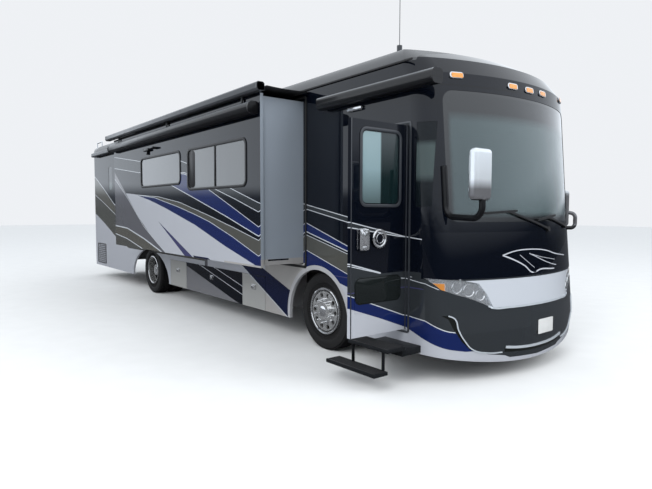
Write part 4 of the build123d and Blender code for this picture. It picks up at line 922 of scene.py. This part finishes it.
fitted("door_handle_and_lock", chrome, (
    (slab(0.118, 0.198, 0.022, 0.004, 0.002), on_door(0.600, 1.440, 0.0353)),
    (rim(0.128, 0.208, 0.028, 0.016, 0.010, 0.003), on_door(0.600, 1.440)),
    (slab(0.070, 0.120, 0.015, 0.012, 0.004), on_door(0.600, 1.455, 0.0395)),
    (slab(0.050, 0.030, 0.010, 0.006, 0.002), on_door(0.600, 1.362, 0.0395)),
    (lock_ring(0.078, 0.012, 0.015, 12, 48), on_door(0.390, 1.445, 0.016)),
    (lock_ring(0.045, 0.006, 0.005, 8, 36), on_door(0.390, 1.445, 0.019)),
), "entry_door")
door_middle = 1.535
fitted("door_edge_trim", frame_paint, (
    (slab(0.016, 2.03, 0.004, 0.005), on_door(0.016, door_middle)),
    (slab(0.012, 2.03, 0.003, 0.004), on_door(0.738, door_middle)),
), "entry_door")
# The doorway has a painted channel round it, and a chromed porch lamp over it.
wall_y = -half_width - 0.0003
fitted("doorway_channel", frame_paint,
       [(rim(0.840, 2.115, 0.03, 0.024, 0.006, 0.002), at_side(front_axle_x + 1.0555, wall_y, door_middle))])
fitted("porch_lamp", chrome,
       [(slab(0.24, 0.045, 0.018, 0.035, 0.008), at_side(front_axle_x + 0.644, wall_y, 2.826))])


# Entry steps: black steel treads with ribbed grip mats and a black anodised wear strip on each nose. The
# stepwell inside the door is lined with ribbed rubber.
step_black = Finish("step_black", (0.006, 0.007, 0.009), specular_ior_level=0.15)
mix_mask = step_black.noise(16.0, 5, 0.6)
step_black.wear_and_light_mix(mix_mask, (0.003, 0.004, 0.005), (0.014, 0.015, 0.017), (0.30, 0.55))
step_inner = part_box("entry_steps")[1][1]
tread_plate = 0.034
# Each tread: ends, inner and outer edges, and height.
treads = ((4.930, 5.499, -1.530, -1.775, 0.420), (4.731, 5.450, -1.715, -1.899, 0.200))


def level_at(x, y, z):
    """Where a part made facing -Y lies level, facing up."""
    return Matrix.Translation((x, y, z)) @ Matrix.Rotation(-pi / 2, 4, "X")


parts = [(slab(x1 - x0, y0 - y1, 0.012, tread_plate, 0.004),
          level_at((x0 + x1) / 2, (y0 + y1) / 2, top - tread_plate)) for x0, x1, y0, y1, top in treads]
parts.append((slab(0.50, step_inner + 1.545, 0.010, 0.070, 0.004),
              level_at(5.210, (step_inner - 1.545) / 2, 0.315)))
parts += [(slab(0.034, 0.215, 0.008, 0.012, 0.002),
           Matrix.Translation((x, -1.740, 0.285)) @ Matrix.Rotation(pi / 2, 4, "Z")) for x in (4.970, 5.400)]
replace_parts(fitted("entry_step_treads", step_black, parts, angle=30), "entry_steps")
mat_rubber = Finish("ribbed_mat", (0.015, 0.015, 0.015), roughness=0.8)
mat_rubber.wear_and_light_mix(mat_rubber.noise(20.0, 5), (0.004, 0.004, 0.005), (0.020, 0.020, 0.021),
                bumps=(mat_rubber.waves(12.0, "Y"), 0.7, 0.004))
dress(mat_rubber, "stepwell")
fitted("step_mats", mat_rubber, [
    (slab(x1 - x0 - 0.03, abs(y1 - y0) - 0.04, 0.01, 0.003, 0.001),
     level_at((x0 + x1) / 2, (y0 + y1) / 2, top)) for x0, x1, y0, y1, top in treads])
fitted("step_wear_strips", anodised, [
    (slab(x1 - x0 - 0.01, 0.010, 0.003, 0.004, 0.001),
     level_at((x0 + x1) / 2, y1 + 0.012, top)) for x0, x1, y0, y1, top in treads])


# Parts laid on the nose follow its curve: chrome beads along the silver panel and the fins, light
# stripes over the bumper, and a blank plate. The nose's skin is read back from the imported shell.
nose_shell = bmesh.new()
for name in ("front_cap", "bumper", "headlights", "windshield"):
    nose_shell.from_mesh(nodes[name].data)
nose_skin = BVHTree.FromBMesh(nose_shell)
backward = Vector((-1, 0, 0))


def laid_bar(spots, width, proud, steps=40):
    """A flat bar of even width along spots, laid on the nose and standing proud of it."""
    curve = bpy.data.curves.new("run", "CURVE")
    curve.dimensions = "3D"
    spline = curve.splines.new("BEZIER")
    spline.bezier_points.add(len(spots) - 1)
    for point, spot in zip(spline.bezier_points, spots):
        point.co = spot
        point.handle_left_type = "AUTO"
        point.handle_right_type = "AUTO"
    spline.resolution_u = max(2, steps // (len(spots) - 1))
    carrier = bpy.data.objects.new("run", curve)
    run = bpy.data.meshes.new_from_object(carrier)
    line = [vert.co.copy() for vert in run.vertices]
    bpy.data.meshes.remove(run)
    bpy.data.curves.remove(curve)
    mesh = bmesh.new()
    near = [nose_skin.find_nearest(spot) for spot in line]
    row = [mesh.verts.new(hit[0]) for hit in near]
    chain = [mesh.edges.new(pair) for pair in zip(row, row[1:])]
    bmesh.ops.extrude_edge_only(mesh, edges=chain)
    base = set(row)
    for index, vert in enumerate(row):
        other = [joint.other_vert(vert) for joint in vert.link_edges
                 if joint.other_vert(vert) not in base][0]
        facing = near[index][1]
        if facing.dot(Vector((1, 0, 0))) < 0 and abs(facing.y) < 0.9:
            facing = -facing
        heading = line[min(index + 1, len(line) - 1)] - line[max(index - 1, 0)]
        aside = heading.cross(facing).normalized() * width / 2
        vert.co += aside
        other.co -= aside
    flat = mesh.faces[:]
    made = bmesh.ops.extrude_face_region(mesh, geom=flat)
    raised = [item for item in made["geom"] if isinstance(item, bmesh.types.BMVert)]
    for vert in raised:
        facing = nose_skin.find_nearest(vert.co)[1]
        vert.co += (facing if facing.x > -0.2 else -facing) * proud
    bmesh.ops.recalc_face_normals(mesh, faces=mesh.faces)
    return mesh


def both_sides(name, finish, runs):
    """A piece of laid bars; each run is (spots, width, proud, whether it is mirrored)."""
    mesh = bmesh.new()
    for spots, width, proud, handed in runs:
        for sign in ((1, -1) if handed else (1,)):
            add(mesh, laid_bar([Vector((front_axle_x + x, sign * y, z)) for x, y, z in spots], width, proud))
    return smooth(piece_from(mesh, name, finish), 50)


bright_trim = Finish("bright_trim", metallic=0.35, roughness=0.22, coat_weight=0.6)
bright_trim.wear_and_light_mix(bright_trim.noise(20.0, 3), (0.50, 0.54, 0.58), (0.62, 0.66, 0.70))
both_sides("nose_chrome_beads", bright_trim, (
    (((2.020, -0.745, 0.775), (2.035, -0.698, 0.755), (2.086, -0.487, 0.747), (2.119, -0.172, 0.745),
      (2.121, 0.172, 0.745), (2.086, 0.487, 0.747), (2.035, 0.698, 0.755), (2.020, 0.745, 0.775)),
     0.018, 0.010, False),
    (((1.857, -1.150, 0.700), (1.893, -1.095, 0.666), (1.919, -1.066, 0.553), (1.943, -0.998, 0.444),
      (1.967, -0.912, 0.358), (2.02, -0.729, 0.306), (2.06, -0.560, 0.296)), 0.012, 0.008, True),
    (((2.082, -0.520, 0.345), (2.106, -0.312, 0.322), (2.122, 0.0, 0.312), (2.106, 0.312, 0.322),
      (2.082, 0.520, 0.345)), 0.026, 0.008, False),
))
pin_paint = lacquer("stripe_paint", (0.42, 0.43, 0.46))
both_sides("nose_stripes", pin_paint, (
    (((2.05, -0.541, 1.268), (2.08, -0.372, 1.305), (2.10, -0.121, 1.316), (2.10, 0.19, 1.292),
      (2.08, 0.40, 1.250), (2.0, 0.745, 1.208)), 0.011, 0.001, False),
    (((2.05, -0.541, 1.268), (2.08, -0.379, 1.214), (2.10, -0.225, 1.148), (2.10, -0.107, 1.075),
      (2.10, 0.054, 1.098), (2.08, 0.292, 1.087), (2.0, 0.663, 1.070)), 0.014, 0.001, False),
    (((2.10, -0.297, 1.264), (2.10, -0.18, 1.190), (2.10, -0.065, 1.122)), 0.006, 0.001, False),
    (((2.10, -0.143, 1.274), (2.10, 0.20, 1.165), (2.0, 0.58, 1.090)), 0.008, 0.001, False),
    (((2.10, -0.126, 1.268), (2.10, 0.090, 1.225), (2.10, 0.40, 1.185)), 0.005, 0.001, False),
    (((1.48, -1.2825, 1.052), (1.62, -1.25, 1.050), (1.75, -1.17, 1.046), (1.90, -1.02, 1.043)),
     0.006, 0.001, True),
))
plate_paint = Finish("blank_plate", (0.55, 0.55, 0.54), roughness=0.35)
plate_paint.wear_and_light_mix(plate_paint.noise(15.0, 4), (0.50, 0.50, 0.49), (0.60, 0.60, 0.59),
                 bumps=(plate_paint.noise(60.0, 2), 0.1, 0.001))
plate_middle = Vector((8, 0.095, 0.50))
plate_middle.x = nose_skin.ray_cast(plate_middle, backward)[0].x + 0.001
fitted("blank_plate", plate_paint,
       [(slab(0.30, 0.155, 0.012, 0.006, 0.002),
         Matrix.Translation(plate_middle) @ Matrix.Rotation(radians(92), 4, "Z"))])


# Headlights: clear polycarbonate over chromed bowls in a bright housing, with an amber corner.
# The housing is the lens's own shell set back behind it.
lens = Finish("headlight_lens", (0.8, 0.82, 0.84), roughness=0.04, coat_weight=1.0, coat_ior=1.6)
across = abs(lens.axes()[1])
height = lens.axes()[2]
amber = lens.between(across, 0.0, 1.0, 1.160, 1.175) * lens.between(height, 1.0, 0.0, 1.005, 1.015)
lens.give(**{
    "Base Color": lens.tint(amber, (0.72, 0.75, 0.78), (0.70, 0.26, 0.03)),
    "Alpha": lens.between(amber, 0.10, 0.62),
})
dress(lens, "headlights")
reflector = Finish("lamp_reflector", metallic=0.9, roughness=0.18)
flute = reflector.waves(9.0, "Y", distortion=1.0)
reflector.wear_and_light_mix(reflector.noise(11.0, 4), (0.42, 0.44, 0.46), (0.85, 0.87, 0.90),
               bumps=(flute, 0.5, 0.006))
housing = bmesh.new()
housing.from_mesh(nodes["headlights"].data)
bmesh.ops.remove_doubles(housing, verts=housing.verts, dist=1e-5)
for vert in housing.verts:
    sign = 1 if vert.co.y > 0 else -1
    centre = Vector((5.72, sign * 1.00, 0.94))
    vert.co = centre + (vert.co - centre) * 0.97 + Vector((-0.020, -sign * 0.006, 0))
smooth(piece_from(housing, "headlight_housings", reflector))
mesh = bmesh.new()
# Each bowl: distance from the middle, height and size.
for off, z, size in ((1.055, 0.965, 0.052), (0.935, 0.935, 0.058), (0.815, 0.885, 0.050)):
    for sign in (-1, 1):
        hit = nose_skin.ray_cast(Vector((8, sign * off, z)), backward)[0]
        bowl = turned([(0.040 * (share * share - 1), size * share) for share in (0.0, 0.3, 0.55, 0.8, 1.0)]
                      + [(0.002, size * 1.05), (-0.002, size * 1.10)], 32, (0, 0, 0), closed=False)
        aim = Vector((1, sign * 0.35, 0)).normalized()
        turn = aim.to_track_quat("Y", "Z").to_matrix().to_4x4()
        add(mesh, bowl, Matrix.Translation(hit - aim * 0.014) @ turn)
smooth(piece_from(mesh, "headlight_bowls", chrome))


# Small lamps: red and amber moulded lenses with fluted backs, and chromed rims at the brow.
red_lens = Finish("red_lens", roughness=0.15, coat_weight=1.0)
height = red_lens.axes()[2]
band = (height > 1.20) * (height < 1.28)
color = red_lens.tint(red_lens.noise(9.0, 3), (0.32, 0.008, 0.008), (0.45, 0.015, 0.012))
red_lens.wear_and_light_mix(band, color, (0.62, 0.60, 0.58), bumps=(red_lens.waves(14.0, "Z"), 0.5, 0.004))
dress(red_lens, "tail_lights")
amber_lens = Finish("amber_lens", roughness=0.15, coat_weight=1.0)
amber_lens.wear_and_light_mix(amber_lens.noise(30.0, 3), (0.55, 0.20, 0.03), (0.80, 0.34, 0.06),
                bumps=(amber_lens.waves(40.0, "Y"), 0.4, 0.002))
dress(amber_lens, "marker_lights")
parts = []
for y, z in ((-0.96, 3.025), (-0.28, 2.982), (0.0, 2.978), (0.28, 2.982), (0.96, 3.025)):
    hit, facing = nose_skin.ray_cast(Vector((8, y, z)), backward)[:2]
    turn = facing.to_track_quat("-Y", "Z").to_matrix().to_4x4()
    parts.append((rim(0.150, 0.064, 0.026, 0.018, 0.014, 0.004), Matrix.Translation(hit) @ turn))
fitted("marker_rims", chrome, parts)


# Mirrors: chromed heads on black arms, with the glass let into the back of each head. Wipers are
# matt black arms with rubber blades.
mirror_finish = Finish("mirror_shell")
along, across, height = mirror_finish.axes()
right_head = (along > 6.0) * (height > 1.81)
left_head = (across > 1.36) * (height > 1.53)
shell = right_head.most(left_head)
# The chromed heads grow lighter towards the top: a painted reflection.
painted_sky_sheen = mirror_finish.between(height, 0.0, 1.0, 1.90, 1.99)
painted_sky_sheen = mirror_finish.tint(painted_sky_sheen, (0.17, 0.17, 0.18), (0.70, 0.74, 0.78))
mirror_finish.give(**{
    "Base Color": mirror_finish.tint(shell, (0.004, 0.004, 0.005), painted_sky_sheen),
    "Metallic": shell * 0.45,
    "Roughness": mirror_finish.between(shell, 0.35, 0.05),
})
dress(mirror_finish, "mirrors")
wiper_black = Finish("wiper_black", (0.010, 0.010, 0.011))
wiper_black.give(**{
    "Roughness": wiper_black.between(wiper_black.noise(40.0, 3), 0.4, 0.65),
    "Normal": wiper_black.bump(wiper_black.noise(150.0, 2), 0.2, 0.001),
})
dress(wiper_black, "wipers")
mirror_glass = Finish("mirror_glass", metallic=1.0, roughness=0.02)
mirror_glass.wear_and_light_mix(mirror_glass.noise(4.0, 2), (0.72, 0.75, 0.78), (0.80, 0.83, 0.86))
# Each pane: its height, its middle, and how far it is turned about the upright.
fitted("mirror_panes", mirror_glass, [
    (slab(0.19, height, 0.03, 0.003, 0.001), Matrix.Translation(middle) @ Matrix.Rotation(turn, 4, "Z"))
    for height, middle, turn in (
        (0.26, (6.0305, -1.230, 2.085), -pi / 2), (0.10, (6.0305, -1.230, 1.880), -pi / 2),
        (0.26, (5.370, 1.3710, 1.800), 0), (0.10, (5.370, 1.3710, 1.600), 0))])


# Roof units are white moulded shrouds with louvres across the back. The ladder is bent from
# polished tube.
shroud = Finish("white_shroud", roughness=0.35)
louvre = shroud.waves(4.0, "Z")
shroud.wear_and_light_mix(shroud.noise(3.0, 5), (0.60, 0.60, 0.58), (0.72, 0.72, 0.70), bumps=(louvre, 0.6, 0.01))
dress(shroud, "roof_units")
dress(chrome, "rear_ladder")


# The cab: a grained two-tone dashboard, a laminated floor, and seats in tan leather. Each seat's
# pads are stuffed, sewn across in channels and set on a steel base.
dash_skin = Finish("dash_skin")
grain = dash_skin.noise(160.0, 3)
dash_skin.give(**{
    "Base Color": dash_skin.tint(dash_skin.axes()[2] > 1.44, (0.10, 0.085, 0.07), (0.03, 0.03, 0.032)),
    "Roughness": dash_skin.between(grain, 0.45, 0.65),
    "Normal": dash_skin.bump(grain, 0.2, 0.0008),
})
dress(dash_skin, "dashboard")
deck = Finish("floor_deck", roughness=0.45)
plank = deck.waves(2.2, "Y", (0.2, 1, 1), 3.0)
deck.wear_and_light_mix(plank, (0.16, 0.11, 0.07), (0.27, 0.19, 0.13))
dress(deck, "floor")
leather = Finish("seat_leather", roughness=0.5)
leather.wear_and_light_mix(leather.noise(4.0, 4), (0.25, 0.215, 0.18), (0.34, 0.30, 0.25),
             bumps=(leather.noise(90.0, 4), 0.25, 0.001))
channel_half = 0.016
channel_depth = 0.007


def baked(made):
    """The mesh a piece has once its modifiers have worked."""
    graph = bpy.context.evaluated_depsgraph_get()
    return bpy.data.meshes.new_from_object(made.evaluated_get(graph), depsgraph=graph)


def stuffed(made, place, channels, cap=0.014):
    """Blows a pad up as cloth under pressure, no point further than the cap, then sews channels in."""
    skin = made.modifiers.new("skin", "REMESH")
    skin.mode = "VOXEL"
    skin.voxel_size = 0.011
    made.data = baked(made)
    made.modifiers.clear()
    stuffing = made.modifiers.new("stuffing", "CLOTH")
    stuffing.settings.use_pressure = True
    stuffing.settings.uniform_pressure_force = 4
    stuffing.settings.effector_weights.gravity = 0
    for step in range(1, 21):
        bpy.context.scene.frame_set(step)
    blown = baked(made)
    made.modifiers.clear()
    bpy.context.scene.frame_set(1)
    for vert, swollen in zip(made.data.vertices, blown.vertices):
        move = swollen.co - vert.co
        vert.co += move * min(1, cap / max(move.length, 1e-6))
    bpy.data.meshes.remove(blown)
    unplaced = place.inverted()
    for vert in made.data.vertices:
        near = min(abs((unplaced @ vert.co).x - line) for line in channels)
        if near < channel_half:
            vert.co -= vert.normal * channel_depth * (1 - near / channel_half)
    rounder = made.modifiers.new("round", "SUBSURF")
    rounder.levels = 1
    rounder.render_levels = 1


def pad(width, depth, height, place):
    """A pad before it is stuffed: a block rounded along its edges and crowned."""
    mesh = bmesh.new()
    bmesh.ops.create_cube(mesh, size=1)
    bmesh.ops.scale(mesh, vec=(depth, width, height), verts=mesh.verts)
    bmesh.ops.bevel(mesh, geom=mesh.edges[:], offset=0.035, segments=2, profile=0.5, affect="EDGES",
                    material=-1)
    bmesh.ops.subdivide_edges(mesh, edges=mesh.edges[:], cuts=3, use_grid_fill=True)
    for vert in mesh.verts:
        share = [1 - min(1, abs(2 * at / size)) ** 4 for at, size in zip(vert.co, (depth, width, height))]
        vert.co.z += 0.008 * share[0] * share[1] * (1 if vert.co.z > 0 else -1)
    bmesh.ops.transform(mesh, matrix=place, verts=mesh.verts)
    return mesh


seat_x = front_axle_x + 0.800
seat_pieces = []
for name, seat_y in (("driver", 0.620), ("passenger", -0.330)):
    cushion_place = Matrix.Translation((seat_x, seat_y, 1.455))
    lean = Matrix.Rotation(radians(-12), 4, "Y")
    back_place = Matrix.Translation((seat_x - 0.330, seat_y, 1.90)) @ lean
    head_place = back_place @ Matrix.Translation((0.0, 0, 0.400)) @ Matrix.Rotation(radians(90), 4, "Y")
    back_place = back_place @ Matrix.Rotation(radians(90), 4, "Y")
    # Each pad: its name, width, depth, thickness, place and sewn channels.
    for part_name, width, depth, height, place, channels in (
            ("cushion", 0.48, 0.50, 0.130, cushion_place, (-0.12, 0.04)),
            ("back", 0.48, 0.64, 0.100, back_place, (-0.14, 0.02, 0.18)),
            ("headrest", 0.28, 0.17, 0.085, head_place, (0.0,))):
        made = piece_from(pad(width, depth, height, place), f"{name}_{part_name}", leather)
        stuffed(made, place, channels)
        smooth(made, 60)
        seat_pieces.append(made)
    arms = [(pad(0.055, 0.44, 0.070, Matrix.Translation((seat_x - 0.05, seat_y + sign * 0.309, 1.638))),
             Matrix()) for sign in (-1, 1)]
    made = fitted(f"{name}_armrests", leather, arms, angle=60)
    parts = [(slab(0.34, 0.34, 0.03, 0.32, 0.01), level_at(seat_x, seat_y, 1.0385))]
    parts += [(slab(0.03, 0.30, 0.008, 0.02),
               Matrix.Translation((seat_x - 0.24, seat_y + sign * 0.30, 1.48))) for sign in (-1, 1)]
    fitted(f"{name}_base", chassis_paint, parts)
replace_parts(seat_pieces[0], "cab_seats")


# Rear and lower side openings: a louvred grille for the radiator behind each rear wheel, with a
# frame screwed to the skin.
grille_x = -5.34
grille_z = 0.62
blade_pitch = 0.048
for side, sign in sides:
    wall_y = sign * (half_width + 0.0003)
    parts = [(rim(0.70, 0.50, 0.03, 0.025, 0.008), at_side(grille_x, wall_y, grille_z, sign))]
    parts += [(slab(0.65, 0.022, 0.003, 0.007),
               at_side(grille_x, wall_y, grille_z + step * blade_pitch, sign)) for step in range(-4, 5)]
    fitted(f"radiator_grille_{side}", anodised, parts)
